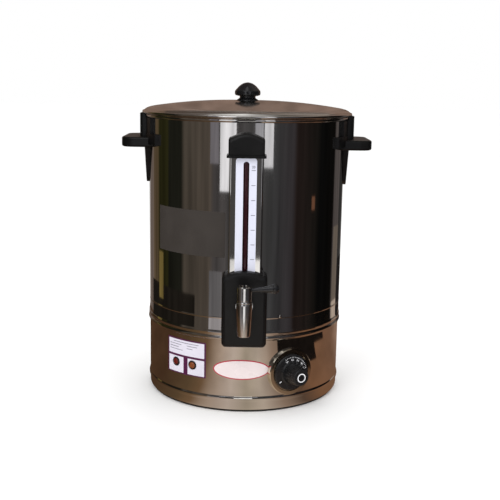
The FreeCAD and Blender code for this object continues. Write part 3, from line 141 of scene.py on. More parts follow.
# Each finish: colour, spread of the colour, stretch of the grain, grain scale, roughness low and high,
# metallic, bump strength, coat
FINISHES = {
    "plain_steel": ((0.55, 0.54, 0.52), 0.10, (1, 1, 1), 60, 0.22, 0.38, 1.0, 0.05, 0.0),
    "brushed_tap": ((0.80, 0.79, 0.79), 0.08, (1, 1, 14), 90, 0.13, 0.22, 1.0, 0.05, 0.0),
    "bright_tap": ((0.86, 0.85, 0.83), 0.04, (1, 1, 1), 40, 0.04, 0.10, 1.0, 0.02, 0.0),
    "bezel_metal": ((0.80, 0.72, 0.58), 0.05, (1, 1, 1), 50, 0.08, 0.16, 1.0, 0.02, 0.0),
    "gloss_black": ((0.008, 0.008, 0.009), 0.15, (1, 1, 1), 70, 0.08, 0.16, 0.0, 0.02, 0.3),
    "dial_black": ((0.010, 0.010, 0.011), 0.15, (1, 1, 1), 120, 0.24, 0.34, 0.0, 0.04, 0.0),
    "scale_paint": ((0.66, 0.67, 0.78), 0.03, (1, 1, 4), 30, 0.30, 0.42, 0.0, 0.01, 0.0),
    "print_grey": ((0.09, 0.09, 0.13), 0.10, (1, 1, 1), 60, 0.45, 0.55, 0.0, 0.0, 0.0),
    "print_white": ((0.80, 0.80, 0.82), 0.04, (1, 1, 1), 60, 0.35, 0.5, 0.0, 0.0, 0.0),
    "label_white": ((0.70, 0.67, 0.76), 0.04, (1, 1, 1), 25, 0.32, 0.45, 0.0, 0.01, 0.0),
    "badge_white": ((0.80, 0.70, 0.70), 0.03, (1, 1, 1), 25, 0.22, 0.32, 0.0, 0.01, 0.2),
    "rubber": ((0.018, 0.018, 0.018), 0.25, (1, 1, 1), 140, 0.55, 0.75, 0.0, 0.12, 0.0),
    "red_lens": ((0.10, 0.008, 0.006), 0.2, (1, 1, 1), 40, 0.10, 0.2, 0.0, 0.02, 0.4),
    "amber_lens": ((0.17, 0.045, 0.012), 0.2, (1, 1, 1), 40, 0.10, 0.2, 0.0, 0.02, 0.4),
    "heater_sheath": ((0.32, 0.31, 0.29), 0.25, (1, 1, 1), 30, 0.30, 0.50, 1.0, 0.08, 0.0),
    "ivory_plastic": ((0.60, 0.56, 0.45), 0.06, (1, 1, 1), 50, 0.40, 0.55, 0.0, 0.03, 0.0),
    "copper": ((0.70, 0.34, 0.20), 0.15, (1, 1, 1), 40, 0.2, 0.35, 1.0, 0.04, 0.0),
}
made_finishes = {}


def start_finish(name):
    """A new material with its principled shader and its object coordinates."""
    material = bpy.data.materials.new(name)
    material.use_nodes = True
    tree = material.node_tree
    shader = tree.nodes["Principled BSDF"]
    coordinates = tree.nodes.new("ShaderNodeTexCoord")
    return material, tree, shader, coordinates.outputs["Object"]


def stretched_noise(tree, place, stretch, scale, detail=3.0):
    """Noise drawn out by the stretch along each axis."""
    mapping = tree.nodes.new("ShaderNodeMapping")
    mapping.inputs["Scale"].default_value = [1.0 / value for value in stretch]
    noise = tree.nodes.new("ShaderNodeTexNoise")
    noise.inputs["Scale"].default_value = scale
    noise.inputs["Detail"].default_value = detail
    tree.links.new(place, mapping.inputs["Vector"])
    tree.links.new(mapping.outputs["Vector"], noise.inputs["Vector"])
    return noise.outputs["Fac"]


def tone(tree, fac, colour, spread):
    """Colour that varies a little either side of the named one."""
    ramp = tree.nodes.new("ShaderNodeValToRGB")
    low, high = ramp.color_ramp.elements[0], ramp.color_ramp.elements[1]
    low.position, high.position = 0.3, 0.7
    low.color = [value * (1.0 - spread) for value in colour] + [1.0]
    high.color = [min(1.0, value * (1.0 + spread)) for value in colour] + [1.0]
    tree.links.new(fac, ramp.inputs["Fac"])
    return ramp.outputs["Color"]


def span(tree, fac, low, high):
    """Spreads the middle of a noise over a range."""
    node = tree.nodes.new("ShaderNodeMapRange")
    node.inputs["From Min"].default_value = 0.3
    node.inputs["From Max"].default_value = 0.7
    node.inputs["To Min"].default_value = low
    node.inputs["To Max"].default_value = high
    tree.links.new(fac, node.inputs["Value"])
    return node.outputs["Result"]


def raise_bump(tree, shader, fac, strength, depth):
    """Lets the noise raise the surface, by the depth in metres at full strength."""
    bump = tree.nodes.new("ShaderNodeBump")
    bump.inputs["Strength"].default_value = strength
    bump.inputs["Distance"].default_value = depth
    tree.links.new(fac, bump.inputs["Height"])
    tree.links.new(bump.outputs["Normal"], shader.inputs["Normal"])
    return bump


def grained(name, colour, spread, stretch, scale, rough_low, rough_high, metallic, bump, coat):
    """A finish whose grain gives its colour, roughness and bump."""
    material, tree, shader, place = start_finish(name)
    fac = stretched_noise(tree, place, stretch, scale)
    tree.links.new(tone(tree, fac, colour, spread), shader.inputs["Base Color"])
    tree.links.new(span(tree, fac, rough_low, rough_high), shader.inputs["Roughness"])
    shader.inputs["Metallic"].default_value = metallic
    shader.inputs["Coat Weight"].default_value = coat
    if bump > 0.0:
        fine = stretched_noise(tree, place, stretch, scale * 9.0, 2.0)
        raise_bump(tree, shader, fine, bump, 0.0004)
    return material


def polished_steel(name, ripple, rough_low, rough_high):
    """Rolled and polished sheet: long upright ripples, a fine grain and faint smears."""
    colour = bpy.context.scene.urn_colours.steel
    material, tree, shader, place = start_finish(name)
    smear = stretched_noise(tree, place, (1, 1, 5), 14.0, 4.0)
    tree.links.new(tone(tree, smear, colour, 0.06), shader.inputs["Base Color"])
    tree.links.new(span(tree, smear, rough_low, rough_high), shader.inputs["Roughness"])
    shader.inputs["Metallic"].default_value = 1.0
    wave = stretched_noise(tree, place, (1, 1, 9), 26.0, 1.0)
    coarse = raise_bump(tree, shader, wave, ripple, 0.0012)
    grain = stretched_noise(tree, place, (1, 1, 30), 900.0, 1.0)
    fine = tree.nodes.new("ShaderNodeBump")
    fine.inputs["Strength"].default_value = 0.02
    fine.inputs["Distance"].default_value = 0.0001
    tree.links.new(grain, fine.inputs["Height"])
    tree.links.new(coarse.outputs["Normal"], fine.inputs["Normal"])
    tree.links.new(fine.outputs["Normal"], shader.inputs["Normal"])
    return material


def moulded_black(name):
    """Satin black phenolic moulding with a fine pebble and rubbed patches."""
    colour = bpy.context.scene.urn_colours.moulding
    material, tree, shader, place = start_finish(name)
    rubbed = stretched_noise(tree, place, (1, 1, 1), 28.0, 4.0)
    tree.links.new(tone(tree, rubbed, colour, 0.3), shader.inputs["Base Color"])
    tree.links.new(span(tree, rubbed, 0.32, 0.46), shader.inputs["Roughness"])
    shader.inputs["Specular IOR Level"].default_value = 0.35
    pebble = stretched_noise(tree, place, (1, 1, 1), 1400.0, 1.0)
    raise_bump(tree, shader, pebble, 0.12, 0.0002)
    return material


def gauge_tube(name):
    """Sight tube: glass of low transmission whose dark maroon colour is painted shade from the dark slot
    behind it.
    """
    material, tree, shader, place = start_finish(name)
    fac = stretched_noise(tree, place, (1, 1, 12), 20.0)
    # dark maroon tone: painted shade of the slot behind the tube
    tree.links.new(tone(tree, fac, (0.045, 0.012, 0.016), 0.25), shader.inputs["Base Color"])
    shader.inputs["Roughness"].default_value = 0.04
    shader.inputs["Transmission Weight"].default_value = 0.35
    shader.inputs["IOR"].default_value = 1.47
    return material


def tinted(name, colour, rough):
    """Printed plastic film with a faint mottle."""
    material, tree, shader, place = start_finish(name)
    fac = stretched_noise(tree, place, (1, 1, 1), 35.0)
    tree.links.new(tone(tree, fac, colour, 0.05), shader.inputs["Base Color"])
    tree.links.new(span(tree, fac, rough, rough + 0.1), shader.inputs["Roughness"])
    return material


def finish(name):
    """The named finish, made when it is first asked for."""
    if name in made_finishes:
        return made_finishes[name]
    colours = bpy.context.scene.urn_colours
    if name == "polished_drum":
        made = polished_steel(name, 0.10, 0.035, 0.08)
    elif name == "polished_lid":
        made = polished_steel(name, 0.05, 0.09, 0.15)
    elif name == "moulded_black":
        made = moulded_black(name)
    elif name == "gauge_tube":
        made = gauge_tube(name)
    elif name == "panel_frame":
        made = tinted(name, colours.frame_colour, 0.35)
    elif name == "badge_rim":
        made = tinted(name, colours.badge_rim, 0.30)
    elif name == "blank_label":
        made = tinted(name, colours.patch, 0.60)
    else:
        made = grained(name, *FINISHES[name])
    made_finishes[name] = made
    return made


def dress(node, name):
    """Gives a carried-over CAD node its finish."""
    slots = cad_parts[node].data.materials
    slots.clear()
    slots.append(finish(name))


def add_piece(name, mesh, material, body, replaced=()):
    """Links a finished mesh as a piece that rides on a body."""
    piece = bpy.data.objects.new(name, mesh)
    bpy.context.scene.collection.objects.link(piece)
    mesh.materials.clear()
    mesh.materials.append(finish(material))
    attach(piece, body)
    if replaced:
        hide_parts(*replaced)


def curve_through(start, middle, end, count):
    """Points after start along a smooth bend that passes the middle point."""
    control = 2.0 * middle - 0.5 * (start + end)
    points = []
    for index in range(1, count + 1):
        t = index / count
        points.append((1 - t) ** 2 * start + 2 * t * (1 - t) * control + t * t * end)
    return points


def section(steps, count):
    """Profile points (radius, height). A step of four numbers bends through its first two."""
    here = Vector(steps[0])
    points = [here]
    for step in steps[1:]:
        end = Vector(step[-2:])
        if len(step) == 4:
            points += curve_through(here, Vector(step[:2]), end, count)
        else:
            points.append(end)
        here = end
    return points


def set_smooth(mesh_data, angle):
    """Smooth faces, with the edges that turn more than the angle kept sharp."""
    for face in mesh_data.faces:
        face.smooth = True
    for edge in mesh_data.edges:
        if len(edge.link_faces) == 2 and edge.calc_face_angle(0.0) > angle:
            edge.smooth = False


def mesh_from(name, mesh_data):
    """Turns an edited shape into a mesh and frees it."""
    mesh = bpy.data.meshes.new(name)
    mesh_data.to_mesh(mesh)
    mesh_data.free()
    return mesh


def settle_shading(mesh):
    """Turns the shading of each corner towards its largest face, so flats next to bends stay flat."""
    holder = bpy.data.objects.new(mesh.name, mesh)
    bpy.context.scene.collection.objects.link(holder)
    weighting = holder.modifiers.new("weighting", "WEIGHTED_NORMAL")
    weighting.mode = "FACE_AREA"
    weighting.keep_sharp = True
    view = bpy.context.evaluated_depsgraph_get()
    settled = bpy.data.meshes.new_from_object(holder.evaluated_get(view), depsgraph=view)
    settled.name = mesh.name
    bpy.data.objects.remove(holder)
    bpy.data.meshes.remove(mesh)
    return settled


def lathe(name, steps, segments, place=None, count=8):
    """Spins a closed profile round +Z, then sets it in place."""
    points = section([[value * MM for value in step] for step in steps], count)
    shape = bmesh.new()
    verts = [shape.verts.new((max(point.x, 0.0), 0.0, point.y)) for point in points]
    edges = [shape.edges.new((verts[i], verts[(i + 1) % len(verts)])) for i in range(len(verts))]
    bmesh.ops.spin(
        shape, geom=verts + edges, cent=(0, 0, 0), axis=(0, 0, 1), angle=2.0 * math.pi, steps=segments,
        use_merge=True)
    bmesh.ops.remove_doubles(shape, verts=shape.verts[:], dist=1e-6)
    bmesh.ops.dissolve_degenerate(shape, edges=shape.edges[:], dist=1e-7)
    loose = [vert for vert in shape.verts if not vert.link_faces]
    bmesh.ops.delete(shape, geom=loose, context="VERTS")
    bmesh.ops.recalc_face_normals(shape, faces=shape.faces[:])
    set_smooth(shape, SHARP_TURN)
    if place is not None:
        bmesh.ops.transform(shape, matrix=place, verts=shape.verts[:])
    return settle_shading(mesh_from(name, shape))


def outward(azimuth, height):
    """Turns local +Z to point out of the drum at the azimuth, local +Y up, at the height in metres."""
    return Matrix.Translation((0, 0, height)) @ Matrix.Rotation(azimuth, 4, "Z") @ UPRIGHT


def wrap(mesh_data, radius):
    """Rolls a flat drawing (x along the arc in metres, z up, y depth) round the drum."""
    for vert in mesh_data.verts:
        azimuth = vert.co.x / radius
        reach = radius - vert.co.y
        vert.co = Vector((reach * math.sin(azimuth), -reach * math.cos(azimuth), vert.co.z))


def film(width, height, corner):
    """A flat sheet in the XZ plane with round corners, centred on the origin."""
    shape = bmesh.new()
    bmesh.ops.create_grid(shape, x_segments=FILM_STRIPS, y_segments=1, size=0.5)
    bmesh.ops.scale(shape, vec=(width, height, 1), verts=shape.verts[:])
    corners = [vert for vert in shape.verts if len(vert.link_edges) == 2]
    bmesh.ops.bevel(
        shape, geom=corners, offset=corner, offset_type="OFFSET", affect="VERTICES", segments=4, profile=0.5,
        material=-1)
    bmesh.ops.rotate(shape, cent=(0, 0, 0), matrix=UPRIGHT.to_3x3(), verts=shape.verts[:])
    return shape


def label(name, azimuth_low, azimuth_high, z_low, z_high, radius, skin, corner, material):
    """A printed film that lies on the drum between two azimuths in degrees and two heights in mm."""
    low, high = math.radians(azimuth_low), math.radians(azimuth_high)
    width = (high - low) * radius
    shape = film(width, (z_high - z_low) * MM, corner * MM)
    middle = 0.5 * (low + high) * radius
    bmesh.ops.translate(shape, vec=(middle, 0, 0.5 * (z_low + z_high) * MM), verts=shape.verts[:])
    finish_film(name, shape, radius, skin, material)


def finish_film(name, shape, radius, skin, material):
    """Gives a flat film its thickness, rolls it on the drum and adds it."""
    bmesh.ops.recalc_face_normals(shape, faces=shape.faces[:])
    result = bmesh.ops.extrude_face_region(shape, geom=shape.faces[:])
    moved = [item for item in result["geom"] if isinstance(item, bmesh.types.BMVert)]
    bmesh.ops.translate(shape, vec=(0, -skin, 0), verts=moved)
    bmesh.ops.recalc_face_normals(shape, faces=shape.faces[:])
    wrap(shape, radius)
    set_smooth(shape, FILM_SHARP_TURN)
    add_piece(name, mesh_from(name, shape), material, "urn")


def lettering(words, size, thickness):
    """Flat text as a mesh, centred, in the local XY plane, in metres."""
    curve = bpy.data.curves.new("figures", "FONT")
    curve.body = words
    curve.size = size
    curve.extrude = thickness
    curve.align_x = "CENTER"
    curve.align_y = "CENTER"
    holder = bpy.data.objects.new("figures", curve)
    mesh = bpy.data.meshes.new_from_object(holder)
    bpy.data.objects.remove(holder)
    return mesh


def join_meshes(name, parts):
    """One mesh from (mesh, matrix) pairs."""
    shape = bmesh.new()
    for mesh, matrix in parts:
        piece = bmesh.new()
        piece.from_mesh(mesh)
        bmesh.ops.transform(piece, matrix=matrix, verts=piece.verts[:])
        holder = bpy.data.meshes.new(name + "_part")
        piece.to_mesh(holder)
        piece.free()
        shape.from_mesh(holder)
        bpy.data.meshes.remove(holder)
        bpy.data.meshes.remove(mesh)
    return mesh_from(name, shape)


def bar(width, depth, height):
    """A small box mesh centred on the origin."""
    shape = bmesh.new()
    bmesh.ops.create_cube(shape, size=1.0)
    bmesh.ops.scale(shape, vec=(width, depth, height), verts=shape.verts[:])
    return mesh_from("bar", shape)


class URN_OT_drum(bpy.types.Operator):
    """Tank, base shell, foot ring and their rivets"""
    bl_idname = "urn.drum"
    bl_label = "Drum and base"

    def execute(self, context):
        sizes = context.scene.urn_sizes
        radius = sizes.drum_radius / MM
        sheet = sizes.sheet / MM
        inner = radius - sheet
        roll = RIM_ROLL / MM
        bend = 0.88
        corner = TANK_FLOOR_CORNER
        roll_z = 0.5 * (SKIRT_Z + SKIRT_ROLL_TOP)
        tank_steps = [
            (radius - 0.4, SKIRT_Z), (radius + 0.9, roll_z, radius, SKIRT_ROLL_TOP),
            (radius, SEAM_Z - SEAM_HALF), (radius + 0.25, SEAM_Z, radius, SEAM_Z + SEAM_HALF),
            (radius, RIM_LOW), (radius + roll, RIM_LOW),
            (radius + 2.0 * roll - bend, RIM_LOW + bend, radius + 2.0 * roll, RIM_LOW + roll),
            (radius + 2.0 * roll - bend, RIM_TOP - bend, radius + roll, RIM_TOP),
            (inner, RIM_TOP), (inner, TANK_FLOOR + corner),
            (inner - 0.3 * corner, TANK_FLOOR + 0.3 * corner, inner - corner, TANK_FLOOR), (0, TANK_FLOOR),
            (0, TANK_FLOOR_UNDER), (inner, TANK_FLOOR_UNDER), (inner, SKIRT_Z),
        ]
        add_piece(
            "tank_drum", lathe("tank_drum", tank_steps, DRUM_SEGMENTS), "polished_drum", "urn",
            ("tank",))
        side = sizes.base_radius / MM
        neck = inner - 0.1
        inside_z = FLANGE_Z + sheet
        bead_z = 0.5 * (SKIRT_Z + UPPER_BEAD_LOW)
        low_bead_z = 0.5 * (LOWER_BEAD_TOP + LOWER_BEAD_LOW)
        base_steps = [
            (neck, NECK_TOP), (neck, SKIRT_Z), (radius, SKIRT_Z), (side + 2.5, bead_z, side, UPPER_BEAD_LOW),
            (side, LOWER_BEAD_TOP), (side + 1.6, low_bead_z, side, LOWER_BEAD_LOW), (side, FLANGE_Z + 5.0),
            (side - 1.4, FLANGE_Z + 1.5, side - 5.0, FLANGE_Z), (FLANGE_INNER, FLANGE_Z),
            (FLANGE_INNER, inside_z), (side - 5.5, inside_z),
            (side - 2.2, inside_z + 1.3, side - sheet, inside_z + 4.5), (side - sheet, SKIRT_Z - sheet),
            (neck - sheet, SKIRT_Z - sheet), (neck - sheet, NECK_TOP),
        ]
        add_piece(
            "base_drum", lathe("base_drum", base_steps, DRUM_SEGMENTS), "polished_drum", "urn",
            ("base_shell",))
        foot_steps = [
            (FOOT_INNER, 0), (FOOT_OUTER - 1.3, 0),
            (FOOT_OUTER, 0.5 * FLANGE_Z, FOOT_OUTER - 1.3, FLANGE_Z), (FOOT_INNER, FLANGE_Z),
        ]
        add_piece(
            "foot_band", lathe("foot_band", foot_steps, DRUM_SEGMENTS), "rubber", "urn",
            ("foot_ring",))
        dress("shell_rivets", "bright_tap")
        for node in ("bottom_plate", "bottom_plate_screws"):
            dress(node, "plain_steel")
        return {"FINISHED"}


class URN_OT_lid(bpy.types.Operator):
    """Lid with its knob, locating ring and knob screw"""
    bl_idname = "urn.lid"
    bl_label = "Lid and knob"

    def execute(self, context):
        brim = RIM_TOP
        steps = [
            (156.0, brim), (156.1, brim + 0.9), (LID_EDGE, brim - 0.2),
            (LID_REACH - 0.6, brim + 0.5, LID_REACH, brim + 2.0),
            (LID_REACH - 0.6, brim + 3.6, LID_EDGE, brim + 4.2), (LID_EDGE - 0.8, brim + 4.3),
            (151.6, brim + 8.2, 140.0, brim + 10.8), (99.0, LID_TOP - 3.9, 58.0, LID_TOP - 0.7),
            (30.0, LID_TOP + 0.1, 3.0, LID_TOP), (3.0, LID_TOP - 7.5),
            (66.0, brim + 10.4, 130.0, brim + 5.1), (132.4, brim + 4.5), (137.0, brim),
        ]
        add_piece(
            "lid_cover", lathe("lid_cover", steps, DRUM_SEGMENTS, count=10), "polished_lid", "lid",
            ("lid",))
        foot, top = LID_TOP, KNOB_TOP
        knob_steps = [
            (0, foot), (16.5, foot), (16.2, foot + 1.1, 13.6, foot + 2.9),
            (12.2, foot + 4.5, 12.4, foot + 6.5), (KNOB_CAP - 2.0, foot + 7.7),
            (KNOB_CAP - 0.3, foot + 9.1, KNOB_CAP, foot + 12.1),
            (KNOB_CAP - 0.2, foot + 14.3, KNOB_CAP - 1.6, foot + 16.1), (10.6, top - 3.8, 3.0, top - 0.5),
            (0, top),
        ]
        add_piece(
            "knob_grip", lathe("knob_grip", knob_steps, SMALL_SEGMENTS), "gloss_black", "lid",
            ("lid_knob",))
        dress("lid_locating_ring", "plain_steel")
        dress("lid_knob_washer", "rubber")
        dress("lid_knob_screw", "plain_steel")
        return {"FINISHED"}


class URN_OT_handles(bpy.types.Operator):
    """Side handles and their screws"""
    bl_idname = "urn.handles"
    bl_label = "Handles"

    def execute(self, context):
        for side in ("left", "right"):
            dress(side + "_handle", "moulded_black")
            dress(side + "_handle_screws", "plain_steel")
        return {"FINISHED"}


class URN_OT_gauge(bpy.types.Operator):
    """Water gauge: cover, scale with marks and figures, tube, cap"""
    bl_idname = "urn.gauge"
    bl_label = "Water gauge"

    def execute(self, context):
        dress("gauge_cover", "polished_drum")
        dress("scale_plate", "scale_paint")
        dress("gauge_glass", "gauge_tube")
        dress("gauge_top_cap", "moulded_black")
        dress("gauge_seals", "rubber")
        dress("gauge_cap_screws", "plain_steel")
        dress("gauge_tee", "brushed_tap")
        mark_x = 10.0 * MM
        mark_top = 358.0 * MM
        figure_lift = 4.5 * MM
        face = SCALE_LOW.y - 0.5 * PRINT
        parts = []
        for index in range(GAUGE_MARKS):
            height = mark_top - index * context.scene.urn_sizes.tick_gap
            mark = bar(5.5 * MM, PRINT, 0.7 * MM)
            parts.append((mark, Matrix.Translation((mark_x, face, height))))
        place = Matrix.Translation((mark_x, face, mark_top + figure_lift)) @ UPRIGHT
        parts.append((lettering("20", 4.8 * MM, 0.5 * PRINT), place))
        add_piece("gauge_marks", join_meshes("gauge_marks", parts), "print_grey", "urn")
        return {"FINISHED"}


class URN_OT_tap(bpy.types.Operator):
    """Tap, lever and shroud"""
    bl_idname = "urn.tap"
    bl_label = "Tap and shroud"

    def execute(self, context):
        dress("tap_body", "brushed_tap")
        dress("tap_shroud", "moulded_black")
        dress("tap_washers", "rubber")
        dress("tap_lock_nut", "brushed_tap")
        dress("tap_head", "brushed_tap")
        dress("tap_cap_ring", "bright_tap")
        dress("tap_lever", "gloss_black")
        dress("tap_plug", "brushed_tap")
        dress("tap_plug_ring", "rubber")
        return {"FINISHED"}


class URN_OT_dial(bpy.types.Operator):
    """Thermostat dial with its bezel, marks and figures"""
    bl_idname = "urn.dial"
    bl_label = "Dial"

    def execute(self, context):
        dress("dial_bezel", "bezel_metal")
        dress("dial_knob", "dial_black")
        dress("dial_hub_cap", "gloss_black")
        dress("thermostat_spindle", "plain_steel")
        mark_face = 157.12 * MM
        figure_face = 157.75 * MM
        off_face = 157.32 * MM
        mark_reach, figure_reach, off_reach = 24.0 * MM, 19.0 * MM, 21.8 * MM
        figures = ("30", "50", "70", "90", "110")
        first, last, off_angle = math.radians(118), math.radians(12), math.radians(212)
        marks_between = 4
        count = marks_between * (len(figures) - 1)
        stand = outward(DIAL_AZIMUTH, DIAL_Z)
        parts = []

        def place(angle, reach, face):
            turn = Matrix.Rotation(angle - math.radians(90), 4, "Z")
            return stand @ turn @ Matrix.Translation((0, reach, face))

        for index in range(count + 1):
            angle = first + (last - first) * index / count
            size = (1.5 if index % marks_between else 2.6) * MM
            parts.append((bar(0.6 * MM, size, PRINT), place(angle, mark_reach - 0.5 * size, mark_face)))
        for index, words in enumerate(figures):
            angle = first + (last - first) * index / (len(figures) - 1)
            parts.append((lettering(words, 4.5 * MM, 0.5 * PRINT), place(angle, figure_reach, figure_face)))
        parts.append((bar(1.2 * MM, 5.5 * MM, PRINT), place(off_angle, off_reach, off_face)))
        add_piece("dial_marks", join_meshes("dial_marks", parts), "print_white", "dial")
        ring = lathe(
            "hub_ring", [(5.2, 0), (6.6, 0), (6.6, 0.25), (5.2, 0.25)], SMALL_SEGMENTS,
            stand @ Matrix.Translation((0, 0, HUB_FACE)))
        add_piece("hub_ring", ring, "print_white", "dial")
        return {"FINISHED"}


# Lamp panel. Each field: name, low and high azimuth in degrees, low and high edge in mm.
# Each rule: low and high azimuth in degrees, height in mm
PANEL_FIELDS = (
    ("panel_top_field", -48.0, -22.5, 77.4, 99.8), ("panel_left_field", -48.0, -36.4, 49.8, 74.0),
    ("panel_right_field", -33.4, -22.5, 49.8, 74.0),
)
PANEL_RULES = (
    (-44, -26, 96.4), (-47, -38, 92.6), (-47, -40, 88.6), (-47, -37, 84.6), (-34, -27, 92.6),
    (-34, -30, 88.6),
)
RULE_HEIGHT = 0.7


class URN_OT_lamp_panel(bpy.types.Operator):
    """Printed panel round the two pilot lamps, with the lamps"""
    bl_idname = "urn.lamp_panel"
    bl_label = "Lamp panel"

    def execute(self, context):
        radius = context.scene.urn_sizes.base_radius
        skin = context.scene.urn_sizes.label_skin
        label("panel_frame", -48.9, -21.6, 48.0, 101.7, radius, skin, 1.0, "panel_frame")
        for name, start, end, low, high in PANEL_FIELDS:
            label(name, start, end, low, high, radius + skin, 0.5 * skin, 0.5, "label_white")
        ruled = radius + 1.5 * skin
        half = 0.5 * RULE_HEIGHT
        for index, (start, end, row) in enumerate(PANEL_RULES):
            name = "panel_rule_" + str(index + 1)
            label(name, start, end, row - half, row + half, ruled, 0.2 * skin, 0.3, "print_grey")
        dress("red_lamp_lens", "red_lens")
        dress("amber_lamp_lens", "amber_lens")
        dress("red_lamp_body", "gloss_black")
        dress("amber_lamp_body", "gloss_black")
        dress("lamp_clips", "plain_steel")
        for name, azimuth in zip(("red_lamp_gasket", "amber_lamp_gasket"), LAMP_AZIMUTHS):
            steps = [(5.9, 148.4), (6.9, 148.4), (6.9, 149.9), (6.3, 150.6), (5.9, 150.6)]
            ring = lathe(name, steps, SMALL_SEGMENTS, outward(azimuth, LAMP_Z))
            add_piece(name, ring, "rubber", "urn")
        return {"FINISHED"}


class URN_OT_badge(bpy.types.Operator):
    """Bare oval badge under the tap"""
    bl_idname = "urn.badge"
    bl_label = "Badge"

    def execute(self, context):
        radius = context.scene.urn_sizes.base_radius
        skin = context.scene.urn_sizes.label_skin
        middle = BADGE_AZIMUTH * radius
        rim_width = 1.6
        rim = ("badge_rim", 83.0, 30.0, 0.0, "badge_rim")
        face = ("badge_face", rim[1] - 2.0 * rim_width, rim[2] - 2.0 * rim_width, skin, "badge_white")
        for name, width, height, lift, material in (rim, face):
            shape = bmesh.new()
            bmesh.ops.create_circle(shape, cap_ends=True, radius=0.5, segments=SMALL_SEGMENTS)
            bmesh.ops.rotate(shape, cent=(0, 0, 0), matrix=UPRIGHT.to_3x3(), verts=shape.verts[:])
            bmesh.ops.scale(shape, vec=(width * MM, 1, height * MM), verts=shape.verts[:])
            for index in range(1, FILM_STRIPS):
                x = width * MM * (index / FILM_STRIPS - 0.5)
                geometry = shape.verts[:] + shape.edges[:] + shape.faces[:]
                bmesh.ops.bisect_plane(shape, geom=geometry, plane_co=(x, 0, 0), plane_no=(1, 0, 0))
            bmesh.ops.translate(shape, vec=(middle, 0, BADGE_Z), verts=shape.verts[:])
            finish_film(name, shape, radius + lift, skin, material)
        return {"FINISHED"}


class URN_OT_blank_label(bpy.types.Operator):
    """Blank brown label on the drum"""
    bl_idname = "urn.blank_label"
    bl_label = "Blank label"

    def execute(self, context):
        sizes = context.scene.urn_sizes
        label(
            "blank_label", -57.5, -11.0, 230.6, 296.0, sizes.drum_radius, sizes.label_skin, 0.5,
            "blank_label")
        return {"FINISHED"}


class URN_OT_inside(bpy.types.Operator):
    """Parts inside the base and the cable gland"""
    bl_idname = "urn.inside"
    bl_label = "Inside and back"

    def execute(self, context):
        inside = {
            "thermostat_body": "ivory_plastic", "thermostat_bracket": "plain_steel",
            "thermostat_bulb": "copper", "bulb_clips": "plain_steel", "heating_element": "heater_sheath",
            "element_nuts": "brushed_tap", "element_seals": "rubber", "boil_dry_cutout": "ivory_plastic",
            "cutout_bracket": "plain_steel", "terminal_block": "ivory_plastic",
            "gland_nut": "moulded_black", "cable_gland": "moulded_black",
        }
        for node, name in inside.items():
            dress(node, name)
        return {"FINISHED"}


# What the gloss of the urn sees round it, in degrees from the tap towards +X: a shaded room
ROOM = (
    (-176, (0.50, 0.48, 0.46)), (-146, (0.55, 0.53, 0.52)), (-142, (0.14, 0.11, 0.095)),
    (-127, (0.13, 0.10, 0.085)), (-123, (0.10, 0.070, 0.042)), (-112, (0.095, 0.066, 0.036)),
    (-109, (0.018, 0.017, 0.006)), (-70, (0.011, 0.011, 0.008)), (-66, (0.064, 0.053, 0.042)),
    (-36, (0.074, 0.060, 0.049)), (-32, (0.064, 0.058, 0.058)), (24, (0.060, 0.060, 0.062)),
    (27, (0.038, 0.038, 0.040)), (48, (0.034, 0.030, 0.033)), (52, (0.016, 0.011, 0.010)),
    (80, (0.009, 0.008, 0.007)), (84, (0.0035, 0.0035, 0.0035)), (110, (0.004, 0.0035, 0.003)),
    (114, (0.083, 0.071, 0.068)), (126, (0.083, 0.071, 0.068)), (129, (0.030, 0.028, 0.027)),
    (144, (0.033, 0.031, 0.030)), (148, (0.40, 0.39, 0.38)),
)
TABLE = (
    (-175, (0.066, 0.034, 0.018)), (-80, (0.066, 0.034, 0.018)), (-48, (0.10, 0.062, 0.032)),
    (-36, (0.16, 0.094, 0.05)), (-22, (0.42, 0.32, 0.25)), (-10, (0.56, 0.46, 0.39)), (2, (0.36, 0.30, 0.23)),
    (14, (0.46, 0.38, 0.31)), (28, (0.27, 0.19, 0.14)), (44, (0.10, 0.06, 0.04)), (62, (0.18, 0.088, 0.046)),
    (110, (0.17, 0.09, 0.055)), (140, (0.28, 0.18, 0.13)), (165, (0.12, 0.07, 0.045)),
)
CEILING = (
    (-175, (0.10, 0.075, 0.06)), (-110, (0.08, 0.06, 0.05)), (-60, (0.12, 0.10, 0.09)),
    (-40, (0.60, 0.59, 0.58)), (-12, (0.80, 0.80, 0.80)), (14, (0.45, 0.44, 0.43)), (50, (0.10, 0.09, 0.08)),
    (110, (0.28, 0.24, 0.21)), (150, (0.10, 0.075, 0.06)),
)
# Cards in front of the room's wall: name, low and high azimuth, bottom and top, tone
CARDS = (
    ("left_window", -26, -10, 0.275, 0.80, (0.80, 0.80, 0.84)),
    ("left_pane", -36, -27, 0.325, 0.80, (0.16, 0.15, 0.165)),
    ("right_pane", 8, 16, 0.255, 0.80, (0.34, 0.34, 0.37)),
    ("right_window", 17, 26, 0.32, 0.80, (0.70, 0.70, 0.74)),
    ("left_low", -36, -23, 0.0, 0.036, (0.32, 0.30, 0.31)),
    ("left_middle", -36, -23, 0.036, 0.125, (0.125, 0.12, 0.125)),
    ("right_low", 113, 127, 0.0, 0.036, (0.42, 0.34, 0.28)),
    ("right_middle", 113, 127, 0.036, 0.19, (0.135, 0.11, 0.09)),
    ("dark_left", -127, -52, 0.0, 0.074, (0.012, 0.010, 0.008)),
    ("dark_right", 128, 149, 0.0, 0.12, (0.014, 0.012, 0.012)),
    ("gold_patch", -108, -99, 0.045, 0.14, (0.17, 0.125, 0.04)),
    ("lamp_glint", 71, 76, 0.236, 0.262, (0.12, 0.055, 0.032)),
    ("front_low", -9, 9, 0.03, 0.16, (0.95, 0.94, 0.93)),
    ("warm_back", 120, 240, 0.40, 0.80, (0.20, 0.135, 0.105)),
)
